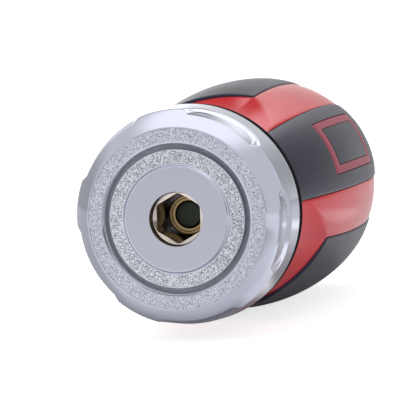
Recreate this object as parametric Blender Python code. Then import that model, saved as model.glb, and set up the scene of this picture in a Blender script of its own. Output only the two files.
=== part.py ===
"""Stubby ratcheting screwdriver that holds 1/4 inch hex bits in a magnetic socket.

The tool is modelled upright, mouth up. Depths are counted down its axis from the front
face of the direction ring, and angles run anticlockwise as seen from the mouth. An empty
then lays the tool on its side with its mouth towards -Y. The origin is the middle of the
magnet's face, where the tail of a bit comes to rest.
"""
import math

import bmesh
import bpy

for old_object in list(bpy.data.objects):
    bpy.data.objects.remove(old_object, do_unlink=True)

MM = 0.001

# Clearances: between pieces that are pressed or laid together, and between running ones.
SEAT_GAP = 0.30 * MM
RUN_GAP = 0.20 * MM

# Direction ring.
RING_LENGTH = 10.0 * MM
RING_WALL = 2.6 * MM
RING_BEVEL = 2.5 * MM
RING_SHOULDER_DEPTH = 2.8 * MM
RING_FLARE = 0.45 * MM
RING_EDGE = 0.35 * MM
RING_LIP = 2.0 * MM
NOSE_GROOVE = 1.05 * MM
RING_TURN = 18.0
SCALLOP_COUNT = 5
SCALLOP_SPAN_ANGLE = 43.0
SCALLOP_DEPTH = 0.65 * MM
SCALLOP_BACK = 5.2 * MM
SCALLOP_WALL = 0.6 * MM
SCALLOP_CORNER = 2.0 * MM
FIRST_SCALLOP_ANGLE = 64.3

# Spindle with its hex socket.
HEX_ACROSS_FLATS = 6.4 * MM
HEX_MOUTH_R = 3.95 * MM
BOSS_R = 7.83 * MM
BOSS_HEIGHT = 0.5 * MM
BOSS_BEVEL = 0.3 * MM
FLANGE_R = 10.0 * MM
FLANGE_THICKNESS = 1.5 * MM
HUB_R = 6.9 * MM
WHEEL_SEAT_R = 5.6 * MM
WHEEL_SEAT_FLAT = 5.0 * MM
JOURNAL_R = 4.6 * MM
JOURNAL_END_CHAMFER = 0.4 * MM

# Magnet and its cup.
BIT_SEAT_DEPTH = 7.5 * MM
MAGNET_R = 1.95 * MM
MAGNET_LENGTH = 3.0 * MM
MAGNET_PROUD = 0.1 * MM
CUP_FLOOR = 0.7 * MM
CUP_RIM_ROUND = 0.25 * MM

# Ratchet wheel and what lies round it.
WHEEL_TEETH = 24
WHEEL_TIP_R = 8.0 * MM
WHEEL_TOOTH = 0.7 * MM
PAWL_SPACE = 4.85 * MM
COVER_THICKNESS = 0.4 * MM
WASHER_THICKNESS = 0.5 * MM
BEARING_LENGTH = 6.0 * MM
CLIP_THICKNESS = 0.65 * MM
CLIP_SHOULDER = 1.6 * MM
CLIP_GROOVE = 0.8 * MM
CLIP_MOUTH_ANGLE = 70.0

# Ratchet body.
BODY_FLOOR = 1.0 * MM
SHANK_ACROSS_FLATS = 16.0 * MM
SHANK_WALL = 1.1 * MM
SHANK_LENGTH = 15.0 * MM

# Split ring that keeps the direction ring on the body.
RETAINER_THICKNESS = 0.5 * MM
RETAINER_WIDTH = 1.05 * MM
RETAINER_BITE = 0.5 * MM
RETAINER_MOUTH_ANGLE = 40.0

# Pawls, seen in their own sector: u runs clockwise and v outwards from the tool's axis.
PAWL_SPREAD = 55.0
PAWL_SWING = 3.8
PAWL_HUB_R = 1.45 * MM
PAWL_PIN_R = 0.65 * MM
PAWL_WALL = 0.4 * MM
NOSE_REACH = 4.05 * MM
NOSE_THICKNESS = 1.0 * MM
NOSE_LIFT = 0.45 * MM
TAIL_REACH = 3.4 * MM
TAIL_THICKNESS = 1.3 * MM
TAIL_LEAD = 0.15 * MM
PIN_SEAT = 1.3 * MM
LEAF_THICKNESS = 0.2 * MM
LEAF_LENGTH = 1.9 * MM
LEAF_HEIGHT = 0.65 * MM

# Click stop of the direction ring.
BALL_ANGLE = 270.0
BALL_R = 1.05 * MM
NOTCH_DEPTH = 0.35 * MM
NOTCH_ANGLE = 9.0
DETENT_WALL = 0.45 * MM
SPRING_WIRE_R = 0.14 * MM
SPRING_TURNS = 2.0
SPRING_POINTS_PER_TURN = 10

# Handle.
COLLAR_INSET = 0.1 * MM
COLLAR_LENGTH = 2.1 * MM
COLLAR_EDGE = 0.4 * MM
OVERALL_LENGTH = 88.0 * MM
BULB_R = 18.6 * MM
BULB_DEPTH = 53.0 * MM
NECK_INSET = 2.25 * MM
DOME_POWER = 2.6
DOME_FLAT_R = 3.0 * MM
STRIPE_DROP = 0.4 * MM
NECK_SLOPE = 0.28
NECK_WAIST = 22.0 * MM

# Grips: a pair of long ones and a pair of broad side ones, a quarter turn apart.
GRIP_ANGLE = 27.0
GRIP_THICKNESS = 1.8 * MM
GRIP_CROWN = 0.25 * MM
GRIP_REAR = 78.0 * MM
LONG_GRIP_HALF_ANGLE = 23.0
LONG_GRIP_FOOT_ANGLE = 7.0
LONG_GRIP_FOOT_LENGTH = 10.0 * MM
SIDE_GRIP_HALF_ANGLE = 42.5
SIDE_GRIP_FRONT = 26.9 * MM
SIDE_GRIP_SWEEP = 5.3 * MM
SIDE_GRIP_POWER = 2.2
CREASE_NEAR = 22.0 * MM

# Bare badge frame let into the upper grip.
BADGE_FRONT = 35.0 * MM
BADGE_REAR = 62.0 * MM
BADGE_HALF_ANGLE = 14.5
BADGE_LINE = 1.4 * MM
BADGE_INLAY = 0.6 * MM

# Depths that follow from the sizes above, from the mouth backwards. The ratchet body ends
# level with the direction ring, and the wheel and pawls fill the length left inside it.
FLANGE_BACK = BOSS_HEIGHT + FLANGE_THICKNESS
COVER_FRONT = max(FLANGE_BACK, RING_LIP) + SEAT_GAP
BODY_FRONT = COVER_FRONT + COVER_THICKNESS + SEAT_GAP
WHEEL_FRONT = BODY_FRONT + RUN_GAP
BODY_BACK = RING_LENGTH
BORE_FLOOR = BODY_BACK - BODY_FLOOR
WASHER_FRONT = BORE_FLOOR - SEAT_GAP - WASHER_THICKNESS
WHEEL_BACK = WASHER_FRONT - SEAT_GAP
BEARING_BACK = BORE_FLOOR + BEARING_LENGTH
CLIP_FRONT = BEARING_BACK + SEAT_GAP
SHANK_BACK = BODY_BACK + SHANK_LENGTH
PAWL_FRONT = BODY_FRONT + SEAT_GAP
PAWL_BACK = WHEEL_BACK
POCKET_FLOOR = PAWL_BACK + SEAT_GAP
RETAINER_FRONT = RING_LENGTH - RING_EDGE - SEAT_GAP - RETAINER_THICKNESS
CUP_FRONT = BIT_SEAT_DEPTH + MAGNET_PROUD
CUP_BACK = BIT_SEAT_DEPTH + MAGNET_LENGTH + SEAT_GAP + CUP_FLOOR
COLLAR_FRONT = BODY_BACK + SEAT_GAP
COLLAR_BACK = COLLAR_FRONT + COLLAR_LENGTH
HANDLE_FRONT = COLLAR_BACK + SEAT_GAP

# Radii that follow from the sizes above, from the ratchet wheel outwards.
BODY_R = WHEEL_TIP_R + PAWL_SPACE
RING_BORE_R = BODY_R + 2.0 * RUN_GAP
RING_SHOULDER_R = RING_BORE_R + RING_WALL
RING_FACE_R = RING_SHOULDER_R - RING_BEVEL
RING_WINDOW_R = FLANGE_R + NOSE_GROOVE
RING_RIM_R = RING_SHOULDER_R + RING_FLARE
COLLAR_R = RING_RIM_R - COLLAR_INSET
NECK_R = COLLAR_R - NECK_INSET
BODY_BORE_R = WHEEL_TIP_R + SEAT_GAP
TAIL_R = RING_BORE_R - TAIL_LEAD
PIVOT_R = BODY_R - PAWL_HUB_R - PAWL_WALL
CUP_R = HEX_ACROSS_FLATS / 2.0 - SEAT_GAP
CHAMBER_R = SHANK_ACROSS_FLATS / 2.0 - SHANK_WALL
RETAINER_R = BODY_R - RETAINER_WIDTH + RETAINER_BITE + SEAT_GAP

# Facets round the axis. The hexagons need a multiple of 12.
FACET_COUNT = 48
SMALL_FACET_COUNT = 28


# The empty that lays the upright tool on its side.
tool_axis = bpy.data.objects.new("tool_axis", None)
tool_axis.rotation_euler = (math.radians(90.0), 0.0, 0.0)
bpy.context.scene.collection.objects.link(tool_axis)


def finish(colour, metallic, roughness):
    """A Principled BSDF finish for one piece."""
    material = bpy.data.materials.new("finish")
    material.use_nodes = True
    shader = material.node_tree.nodes["Principled BSDF"]
    shader.inputs["Base Color"].default_value = (*colour, 1.0)
    shader.inputs["Metallic"].default_value = metallic
    shader.inputs["Roughness"].default_value = roughness
    return material


def chrome():
    return finish((0.62, 0.63, 0.66), 1.0, 0.18)


def dark_steel():
    return finish((0.18, 0.18, 0.19), 1.0, 0.42)


def brass():
    return finish((0.62, 0.44, 0.18), 1.0, 0.30)


def red_plastic():
    return finish((0.62, 0.05, 0.05), 0.0, 0.35)


def grey_rubber():
    return finish((0.085, 0.085, 0.095), 0.0, 0.65)


def add_piece(name, data, material=None):
    """Put a mesh or curve on the tool's axis. Without a material it is a cutter."""
    piece = bpy.data.objects.new(name, data)
    piece.parent = tool_axis
    bpy.context.scene.collection.objects.link(piece)
    if material is None:
        piece.hide_render = True
        piece.display_type = "WIRE"
        return piece
    material.name = name
    data.materials.append(material)
    if piece.type == "MESH":
        data.shade_smooth()
        data.set_sharp_from_angle(angle=math.radians(30.0))
    return piece


def cut(piece, cutter):
    """Subtract a cutter from a piece."""
    step = piece.modifiers.new(cutter.name, "BOOLEAN")
    step.operation = "DIFFERENCE"
    step.solver = "EXACT"
    step.object = cutter


def as_mesh(form, name):
    bmesh.ops.recalc_face_normals(form, faces=form.faces)
    mesh = bpy.data.meshes.new(name)
    form.to_mesh(mesh)
    form.free()
    return mesh


def loft(name, loops, closed=False):
    """Skin a stack of loops into a solid, closed on itself or capped at both ends."""
    form = bmesh.new()
    rows = [[form.verts.new(point) for point in loop] for loop in loops]
    pairs = list(zip(rows, rows[1:]))
    if closed:
        pairs.append((rows[-1], rows[0]))
    else:
        form.faces.new(rows[0])
        form.faces.new(rows[-1])
    for upper, lower in pairs:
        for here in range(len(upper)):
            there = (here + 1) % len(upper)
            form.faces.new((upper[here], upper[there], lower[there], lower[here]))
    return as_mesh(form, name)


def at(radius, angle, depth):
    """The point at a radius, an angle in degrees and a depth behind the ring's face."""
    turn = math.radians(angle)
    return (radius * math.cos(turn), radius * math.sin(turn), BIT_SEAT_DEPTH - depth)


def even(count):
    """Angles of equal facets round the axis."""
    return [360.0 * step / count for step in range(count)]


def loop(radius, depth, angles):
    """A loop round the axis. Radius and depth are numbers or functions of the angle."""
    points = []
    for angle in angles:
        reach = radius(angle) if callable(radius) else radius
        down = depth(angle) if callable(depth) else depth
        points.append(at(reach, angle, down))
    return points


def turned(name, profile, closed=False, angles=None):
    """A solid turned, or shaped round, from pairs of radius and depth."""
    angles = angles or even(FACET_COUNT)
    return loft(name, [loop(radius, depth, angles) for radius, depth in profile], closed)


def prism(name, outline, front, back):
    """A plate with a flat outline between two depths."""
    top = [(x, y, BIT_SEAT_DEPTH - front) for x, y in outline]
    bottom = [(x, y, BIT_SEAT_DEPTH - back) for x, y in outline]
    return loft(name, [top, bottom])


def arc(centre, radius, start, end, steps):
    """Points on an arc, both ends included."""
    points = []
    for step in range(steps + 1):
        turn = math.radians(start + (end - start) * step / steps)
        points.append((centre[0] + radius * math.cos(turn), centre[1] + radius * math.sin(turn)))
    return points


def disc(centre, radius, count=20):
    return arc(centre, radius, 0.0, 360.0 * (count - 1) / count, count - 1)


def split_ring(inner, outer, mouth, mouth_angle):
    """The outline of a flat ring with an open mouth."""
    start = mouth_angle + mouth / 2.0
    end = mouth_angle + 360.0 - mouth / 2.0
    return arc((0.0, 0.0), outer, start, end, SMALL_FACET_COUNT) + arc(
        (0.0, 0.0), inner, end, start, SMALL_FACET_COUNT)


def hexagon(across_flats):
    """Radius of a hexagon whose first flat faces angle 0, as a function of the angle."""
    def radius(angle):
        from_flat = (angle + 30.0) % 60.0 - 30.0
        return across_flats / 2.0 / math.cos(math.radians(from_flat))
    return radius


def double_d(radius, flat):
    """Radius of a round with two flats, as a function of the angle."""
    def reach(angle):
        return min(radius, flat / max(abs(math.cos(math.radians(angle))), 1e-6))
    return reach


def gap_between(angle, centre):
    """Signed difference of two angles, within half a turn."""
    return (angle - centre + 180.0) % 360.0 - 180.0


# Direction ring: a bevelled cap with five thumb scallops, each a shallow pocket cut in from
# the bevel, with steep ends, rounded back corners and a level floor. Behind them the rim is
# whole. Inside, two ramps swing the pawls and three notches click.
SCALLOP_PITCH = 360.0 / SCALLOP_COUNT
SCALLOP_FLOOR_R = RING_SHOULDER_R - SCALLOP_DEPTH
SCALLOP_TOP_HALF = SCALLOP_SPAN_ANGLE / 2.0
SCALLOP_FLOOR_HALF = SCALLOP_TOP_HALF - math.degrees(SCALLOP_WALL / RING_SHOULDER_R)
WALL_LENGTH = RING_LENGTH - RING_EDGE - RING_SHOULDER_DEPTH


def from_scallop(angle):
    """Degrees from the middle of the nearest scallop."""
    return abs((angle - FIRST_SCALLOP_ANGLE + SCALLOP_PITCH / 2.0) % SCALLOP_PITCH - SCALLOP_PITCH / 2.0)


def scallop_edge(grow):
    """Depth of a scallop's back edge at an angle: at its floor, or grown to the top of its wall."""
    def depth(angle):
        side = RING_SHOULDER_R * math.radians(from_scallop(angle))
        half = RING_SHOULDER_R * math.radians(SCALLOP_FLOOR_HALF) + grow
        corner = SCALLOP_CORNER + grow
        back = SCALLOP_BACK - SCALLOP_WALL + grow
        past = min(max(side - half + corner, 0.0), corner)
        rounded = back - corner + math.sqrt(corner ** 2 - past ** 2)
        return max(rounded, RING_SHOULDER_DEPTH + RING_EDGE / 3.0 + grow / 5.0)
    return depth


def ring_wall(depth):
    """Radius of the ring's flared wall at a depth, itself a function of the angle."""
    def radius(angle):
        return RING_SHOULDER_R + RING_FLARE * (depth(angle) - RING_SHOULDER_DEPTH) / WALL_LENGTH
    return radius


def scalloped(radius):
    """The radius, or the scallops' floor where one is cut."""
    def lower(angle):
        whole = radius(angle) if callable(radius) else radius
        cut_here = from_scallop(angle) < (SCALLOP_FLOOR_HALF + SCALLOP_TOP_HALF) / 2.0
        return SCALLOP_FLOOR_R if cut_here else whole
    return lower


RING_ANGLES = []
for scallop in range(SCALLOP_COUNT):
    middle = FIRST_SCALLOP_ANGLE + scallop * SCALLOP_PITCH
    land = SCALLOP_PITCH - SCALLOP_SPAN_ANGLE
    RING_ANGLES.append(middle - SCALLOP_TOP_HALF)
    RING_ANGLES += [middle + SCALLOP_FLOOR_HALF * share for share in (-1, -0.84, -0.6, -0.2)]
    RING_ANGLES += [middle + SCALLOP_FLOOR_HALF * share for share in (0.2, 0.6, 0.84, 1)]
    RING_ANGLES += [middle + SCALLOP_TOP_HALF + land * share for share in (0, 0.2, 0.4, 0.6, 0.8)]

TAIL_ANGLE = math.degrees(math.asin(TAIL_REACH / TAIL_R))
TAIL_ARM = TAIL_REACH * math.cos(math.radians(TAIL_ANGLE)) + (
    math.sqrt(TAIL_R ** 2 - TAIL_REACH ** 2) - PIVOT_R) * -math.sin(math.radians(TAIL_ANGLE))
CAM_RISE = TAIL_ARM * math.radians(PAWL_SWING)
CAM_HALF = RING_TURN + 6.5


def cam_bore(angle):
    """The bore's radius across the pawls: a ramp over each tail, and the click notches."""
    for centre, sense in ((90.0 + PAWL_SPREAD - TAIL_ANGLE, -1.0),
                          (90.0 - PAWL_SPREAD + TAIL_ANGLE, 1.0)):
        offset = gap_between(angle, centre)
        if abs(offset) < CAM_HALF:
            return TAIL_R + RUN_GAP + sense * CAM_RISE * offset / RING_TURN
    for click in (-RING_TURN, 0.0, RING_TURN):
        offset = abs(gap_between(angle, BALL_ANGLE + click))
        if offset < NOTCH_ANGLE / 2.0:
            return RING_BORE_R + NOTCH_DEPTH * (1.0 - 2.0 * offset / NOTCH_ANGLE)
    return RING_BORE_R


FLOOR_EDGE = scallop_edge(0.0)
WALL_EDGE = scallop_edge(SCALLOP_WALL)
GROOVE_R = RETAINER_R + RETAINER_WIDTH + SEAT_GAP
GROOVE_FRONT = RETAINER_FRONT - SEAT_GAP
GROOVE_BACK = RETAINER_FRONT + RETAINER_THICKNESS + SEAT_GAP

direction_ring = add_piece("direction_ring", turned("direction_ring", [
    (RING_WINDOW_R, RING_EDGE),
    (RING_WINDOW_R + RING_EDGE / 2.0, 0.0),
    (RING_FACE_R, 0.0),
    (RING_FACE_R + 0.45 * RING_BEVEL, 0.36 * RING_SHOULDER_DEPTH),
    (SCALLOP_FLOOR_R, 0.70 * RING_SHOULDER_DEPTH),
    (scalloped(RING_SHOULDER_R), RING_SHOULDER_DEPTH),
    (scalloped(ring_wall(FLOOR_EDGE)), FLOOR_EDGE),
    (ring_wall(WALL_EDGE), WALL_EDGE),
    (RING_RIM_R, RING_SHOULDER_DEPTH + WALL_LENGTH),
    (RING_RIM_R - RING_EDGE, RING_LENGTH),
    (RING_BORE_R, RING_LENGTH),
    (RING_BORE_R, GROOVE_BACK),
    (GROOVE_R, GROOVE_BACK),
    (GROOVE_R, GROOVE_FRONT),
    (RING_BORE_R, GROOVE_FRONT),
    (cam_bore, GROOVE_FRONT - RUN_GAP),
    (cam_bore, BODY_FRONT + RUN_GAP),
    (RING_BORE_R, BODY_FRONT),
    (RING_BORE_R, RING_LIP),
    (RING_WINDOW_R, RING_LIP),
], closed=True, angles=RING_ANGLES), chrome())


# Spindle: nose boss, flange, hub, double-D seat for the wheel, then the plain journal with
# its clip groove. The hex socket is broached from the mouth and countersunk there.
def hex_wall(angle):
    return hexagon(HEX_ACROSS_FLATS)(angle)


def countersink_depth(angle):
    """A 45 degree countersink meets each flat in an arc."""
    return HEX_MOUTH_R - hex_wall(angle)


SOCKET_BOTTOM = CUP_BACK + SEAT_GAP
CLIP_GROOVE_FRONT = CLIP_FRONT - RUN_GAP / 2.0
CLIP_GROOVE_BACK = CLIP_FRONT + CLIP_THICKNESS + RUN_GAP / 2.0
SPINDLE_END = CLIP_GROOVE_BACK + CLIP_SHOULDER
CLIP_GROOVE_R = JOURNAL_R - CLIP_GROOVE
WHEEL_SEAT = double_d(WHEEL_SEAT_R, WHEEL_SEAT_FLAT)
SEAT_BACK = WHEEL_BACK + RUN_GAP / 2.0

spindle = add_piece("spindle", turned("spindle", [
    (hex_wall, SOCKET_BOTTOM),
    (hex_wall, countersink_depth),
    (HEX_MOUTH_R, 0.0),
    (BOSS_R - BOSS_BEVEL, 0.0),
    (BOSS_R, BOSS_BEVEL),
    (BOSS_R, BOSS_HEIGHT),
    (FLANGE_R - BOSS_BEVEL, BOSS_HEIGHT),
    (FLANGE_R, BOSS_HEIGHT + BOSS_BEVEL),
    (FLANGE_R, FLANGE_BACK),
    (HUB_R, FLANGE_BACK),
    (HUB_R, WHEEL_FRONT - RUN_GAP),
    (WHEEL_SEAT, WHEEL_FRONT - RUN_GAP),
    (WHEEL_SEAT, SEAT_BACK),
    (JOURNAL_R, SEAT_BACK),
    (JOURNAL_R, CLIP_GROOVE_FRONT),
    (CLIP_GROOVE_R, CLIP_GROOVE_FRONT),
    (CLIP_GROOVE_R, CLIP_GROOVE_BACK),
    (JOURNAL_R, CLIP_GROOVE_BACK),
    (JOURNAL_R, SPINDLE_END - JOURNAL_END_CHAMFER),
    (JOURNAL_R - JOURNAL_END_CHAMFER, SPINDLE_END),
]), chrome())

CUP_BORE_R = MAGNET_R + SEAT_GAP
magnet_cup = add_piece("magnet_cup", turned("magnet_cup", [
    (CUP_BORE_R, CUP_BACK - CUP_FLOOR),
    (CUP_BORE_R, CUP_FRONT + CUP_RIM_ROUND / 2.0),
    (CUP_BORE_R + CUP_RIM_ROUND / 2.0, CUP_FRONT),
    (CUP_R - CUP_RIM_ROUND, CUP_FRONT),
    (CUP_R - 0.3 * CUP_RIM_ROUND, CUP_FRONT + 0.3 * CUP_RIM_ROUND),
    (CUP_R, CUP_FRONT + CUP_RIM_ROUND),
    (CUP_R, CUP_BACK),
], angles=even(SMALL_FACET_COUNT)), brass())

magnet = add_piece("magnet", turned("magnet", [
    (MAGNET_R, BIT_SEAT_DEPTH),
    (MAGNET_R, BIT_SEAT_DEPTH + MAGNET_LENGTH),
], angles=even(SMALL_FACET_COUNT)), finish((0.06, 0.065, 0.06), 0.6, 0.45))


# Ratchet wheel: straight-sided teeth that work both ways, on the spindle's double-D seat.
def tooth(angle):
    phase = angle * WHEEL_TEETH / 360.0 % 1.0
    return WHEEL_TIP_R if phase > 0.45 else WHEEL_TIP_R - WHEEL_TOOTH


WHEEL_BORE = double_d(WHEEL_SEAT_R + SEAT_GAP, WHEEL_SEAT_FLAT + SEAT_GAP)
ratchet_wheel = add_piece("ratchet_wheel", turned("ratchet_wheel", [
    (WHEEL_BORE, WHEEL_FRONT),
    (tooth, WHEEL_FRONT),
    (tooth, WHEEL_BACK),
    (WHEEL_BORE, WHEEL_BACK),
], closed=True, angles=even(4 * WHEEL_TEETH)), dark_steel())

thrust_washer = add_piece("thrust_washer", turned("thrust_washer", [
    (JOURNAL_R + SEAT_GAP, WASHER_FRONT),
    (BODY_BORE_R - SEAT_GAP, WASHER_FRONT),
    (BODY_BORE_R - SEAT_GAP, WASHER_FRONT + WASHER_THICKNESS),
    (JOURNAL_R + SEAT_GAP, WASHER_FRONT + WASHER_THICKNESS),
], closed=True), brass())

CLIP_OUTLINE = split_ring(CLIP_GROOVE_R + RUN_GAP, CHAMBER_R - 2.0 * SEAT_GAP, CLIP_MOUTH_ANGLE, 90.0)
retaining_clip = add_piece("retaining_clip", prism(
    "retaining_clip", CLIP_OUTLINE, CLIP_FRONT, CLIP_FRONT + CLIP_THICKNESS), dark_steel())


# Ratchet body: a cup round the wheel, a bearing for the journal and a hexagonal shank that
# the core grips. The shank is open at the back, so the clip goes on from there.
SHANK = hexagon(SHANK_ACROSS_FLATS)
RETAINER_GROOVE_R = RETAINER_R - SEAT_GAP
ratchet_body = add_piece("ratchet_body", turned("ratchet_body", [
    (BODY_BORE_R, BODY_FRONT),
    (BODY_R, BODY_FRONT),
    (BODY_R, GROOVE_FRONT),
    (RETAINER_GROOVE_R, GROOVE_FRONT),
    (RETAINER_GROOVE_R, GROOVE_BACK),
    (BODY_R, GROOVE_BACK),
    (BODY_R, BODY_BACK),
    (SHANK, BODY_BACK),
    (SHANK, SHANK_BACK),
    (CHAMBER_R, SHANK_BACK),
    (CHAMBER_R, BEARING_BACK),
    (JOURNAL_R + RUN_GAP, BEARING_BACK),
    (JOURNAL_R + RUN_GAP, BORE_FLOOR),
    (BODY_BORE_R, BORE_FLOOR),
], closed=True), dark_steel())

pawl_cover = add_piece("pawl_cover", turned("pawl_cover", [
    (HUB_R + SEAT_GAP, COVER_FRONT),
    (BODY_R, COVER_FRONT),
    (BODY_R, COVER_FRONT + COVER_THICKNESS),
    (HUB_R + SEAT_GAP, COVER_FRONT + COVER_THICKNESS),
], closed=True), dark_steel())

ring_retainer = add_piece("ring_retainer", prism(
    "ring_retainer",
    split_ring(RETAINER_R, RETAINER_R + RETAINER_WIDTH, RETAINER_MOUTH_ANGLE, 90.0),
    RETAINER_FRONT, RETAINER_FRONT + RETAINER_THICKNESS), dark_steel())


# Pawls: a nose towards the wheel, a hub on a pin and a tail under the ring's ramp. The right
# one is the left one seen in a mirror. Outlines are in the sector's u and v.
NOSE_R = WHEEL_TIP_R + NOSE_LIFT
NOSE_V = math.sqrt(NOSE_R ** 2 - NOSE_REACH ** 2)
TAIL_V = math.sqrt(TAIL_R ** 2 - TAIL_REACH ** 2)
TAIL_UNDER = TAIL_V - TAIL_THICKNESS
POCKET_SIDE = NOSE_REACH + NOSE_THICKNESS / 2.0 + 3.0 * SEAT_GAP
POCKET_TAIL = TAIL_REACH + LEAF_LENGTH - 2.0 * SEAT_GAP
LEAF_FLOOR = TAIL_UNDER - CAM_RISE - LEAF_HEIGHT - SEAT_GAP
POCKET_UNDER = LEAF_FLOOR - SEAT_GAP
OUTSIDE = BODY_R + 2.0 * SEAT_GAP

pawl_outline = [(-NOSE_REACH, NOSE_V)]
pawl_outline += arc((0.0, PIVOT_R), PAWL_HUB_R, 240.0, 330.0, 8)
pawl_outline += [
    (TAIL_REACH + SEAT_GAP, TAIL_UNDER),
    (TAIL_REACH + 1.5 * SEAT_GAP, TAIL_V - SEAT_GAP),
    (TAIL_REACH, TAIL_V),
]
pawl_outline += arc((0.0, PIVOT_R), PAWL_HUB_R, 75.0, 135.0, 6)
pawl_outline += [(-NOSE_REACH - 0.65 * NOSE_THICKNESS, NOSE_V + 0.76 * NOSE_THICKNESS)]

pocket_outline = [
    (-POCKET_SIDE, NOSE_V - NOSE_THICKNESS),
    (-0.3 * NOSE_REACH, NOSE_V - NOSE_THICKNESS),
    (-0.15 * NOSE_REACH, PIVOT_R - PAWL_HUB_R - 2.0 * SEAT_GAP),
    (PAWL_HUB_R, PIVOT_R - PAWL_HUB_R - 2.0 * SEAT_GAP),
    (PAWL_HUB_R + SEAT_GAP, POCKET_UNDER),
    (POCKET_TAIL, POCKET_UNDER),
    (POCKET_TAIL, OUTSIDE),
    (-PAWL_HUB_R - SEAT_GAP, OUTSIDE),
    (-PAWL_HUB_R - 2.0 * SEAT_GAP, PIVOT_R + PAWL_HUB_R),
    (-POCKET_SIDE, NOSE_V + NOSE_THICKNESS),
]

leaf_end = POCKET_TAIL - SEAT_GAP
leaf_bend = leaf_end - LEAF_LENGTH
leaf_outline = [
    (leaf_end, LEAF_FLOOR),
    (leaf_bend + LEAF_THICKNESS, LEAF_FLOOR),
    (leaf_bend, LEAF_FLOOR + LEAF_THICKNESS),
    (leaf_end - LEAF_THICKNESS, LEAF_FLOOR + LEAF_HEIGHT),
    (leaf_end - LEAF_THICKNESS, LEAF_FLOOR + LEAF_HEIGHT - LEAF_THICKNESS),
    (leaf_bend + 2.0 * LEAF_THICKNESS, LEAF_FLOOR + LEAF_THICKNESS),
    (leaf_end, LEAF_FLOOR + LEAF_THICKNESS),
]


def in_sector(piece, angle, radius=0.0):
    """Turn a piece drawn in u and v to its sector, at a radius from the axis."""
    turn = math.radians(angle)
    piece.location = (radius * math.cos(turn), radius * math.sin(turn), 0.0)
    piece.rotation_euler = (0.0, 0.0, turn - math.radians(90.0))
    return piece


for side, angle, hand in (("left", 90.0 + PAWL_SPREAD, 1.0), ("right", 90.0 - PAWL_SPREAD, -1.0)):
    pocket = [(hand * u, v) for u, v in pocket_outline]
    cut(ratchet_body, in_sector(add_piece(
        "pocket_" + side, prism("pocket_" + side, pocket, BODY_FRONT - SEAT_GAP, POCKET_FLOOR)), angle))
    pin_hole = disc((0.0, PIVOT_R), PAWL_PIN_R + RUN_GAP)
    cut(ratchet_body, in_sector(add_piece(
        "pin_hole_" + side,
        prism("pin_hole_" + side, pin_hole, PAWL_BACK, POCKET_FLOOR + PIN_SEAT + SEAT_GAP)), angle))

    pawl_shape = [(hand * u, v - PIVOT_R) for u, v in pawl_outline]
    pawl = in_sector(add_piece(
        "pawl_" + side, prism("pawl_" + side, pawl_shape, PAWL_FRONT, PAWL_BACK), dark_steel()),
        angle, PIVOT_R)
    pawl_bore = disc((0.0, PIVOT_R), PAWL_PIN_R + RUN_GAP)
    cut(pawl, in_sector(add_piece(
        "pawl_bore_" + side,
        prism("pawl_bore_" + side, pawl_bore, PAWL_FRONT - SEAT_GAP, PAWL_BACK + SEAT_GAP)), angle))

    in_sector(add_piece("pawl_pin_" + side, prism(
        "pawl_pin_" + side, disc((0.0, PIVOT_R), PAWL_PIN_R), BODY_FRONT, POCKET_FLOOR + PIN_SEAT),
        chrome()), angle)
    leaf = [(hand * u, v) for u, v in leaf_outline]
    in_sector(add_piece("pawl_spring_" + side, prism(
        "pawl_spring_" + side, leaf, PAWL_FRONT + SEAT_GAP, PAWL_BACK - SEAT_GAP),
        dark_steel()), angle)


# Click stop: a coil spring and a ball in a blind hole, drilled inwards from the body's rim.
# The ball stands just clear of the lands between the ring's three notches.
BALL_DEPTH = (BODY_FRONT + POCKET_FLOOR) / 2.0
BALL_CENTRE_R = RING_BORE_R - RUN_GAP - BALL_R
HOLE_R = BALL_R + RUN_GAP
HOLE_FLOOR_R = BODY_BORE_R + DETENT_WALL
SPRING_INNER = HOLE_FLOOR_R + SPRING_WIRE_R + RUN_GAP
SPRING_OUTER = BALL_CENTRE_R - BALL_R - SPRING_WIRE_R - RUN_GAP
COIL_R = BALL_R - 2.0 * SPRING_WIRE_R

detent_hole = prism("detent_hole", disc((0.0, 0.0), HOLE_R), 0.0, OUTSIDE - HOLE_FLOOR_R)


def along_radius(piece, radius):
    """Turn a piece drawn along the depth so that it points in towards the axis at the ball."""
    turn = math.radians(BALL_ANGLE)
    piece.rotation_euler = (0.0, math.radians(90.0), turn)
    piece.location = at(radius, BALL_ANGLE, BALL_DEPTH)
    return piece


cut(ratchet_body, along_radius(add_piece("detent_hole", detent_hole), OUTSIDE - BIT_SEAT_DEPTH))

ball_form = bmesh.new()
bmesh.ops.create_uvsphere(ball_form, u_segments=12, v_segments=8, radius=BALL_R)
detent_ball = add_piece("detent_ball", as_mesh(ball_form, "detent_ball"), chrome())
detent_ball.location = at(BALL_CENTRE_R, BALL_ANGLE, BALL_DEPTH)

coil = bpy.data.curves.new("detent_spring", "CURVE")
coil.dimensions = "3D"
coil.bevel_depth = SPRING_WIRE_R
coil.bevel_resolution = 1
coil.use_fill_caps = True
coil_steps = int(SPRING_TURNS * SPRING_POINTS_PER_TURN)
coil_path = coil.splines.new("POLY")
coil_path.points.add(coil_steps)
for step, knot in enumerate(coil_path.points):
    turn = 2.0 * math.pi * SPRING_TURNS * step / coil_steps
    rise = (SPRING_OUTER - SPRING_INNER) * step / coil_steps
    knot.co = (COIL_R * math.cos(turn), COIL_R * math.sin(turn), rise, 1.0)
detent_spring = along_radius(add_piece("detent_spring", coil, dark_steel()), SPRING_INNER)
coil_gap = (SPRING_OUTER - SPRING_INNER) / SPRING_TURNS - 2.0 * SPRING_WIRE_R
print("detent_spring: least gap between turns %.2f mm" % (coil_gap / MM))


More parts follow.
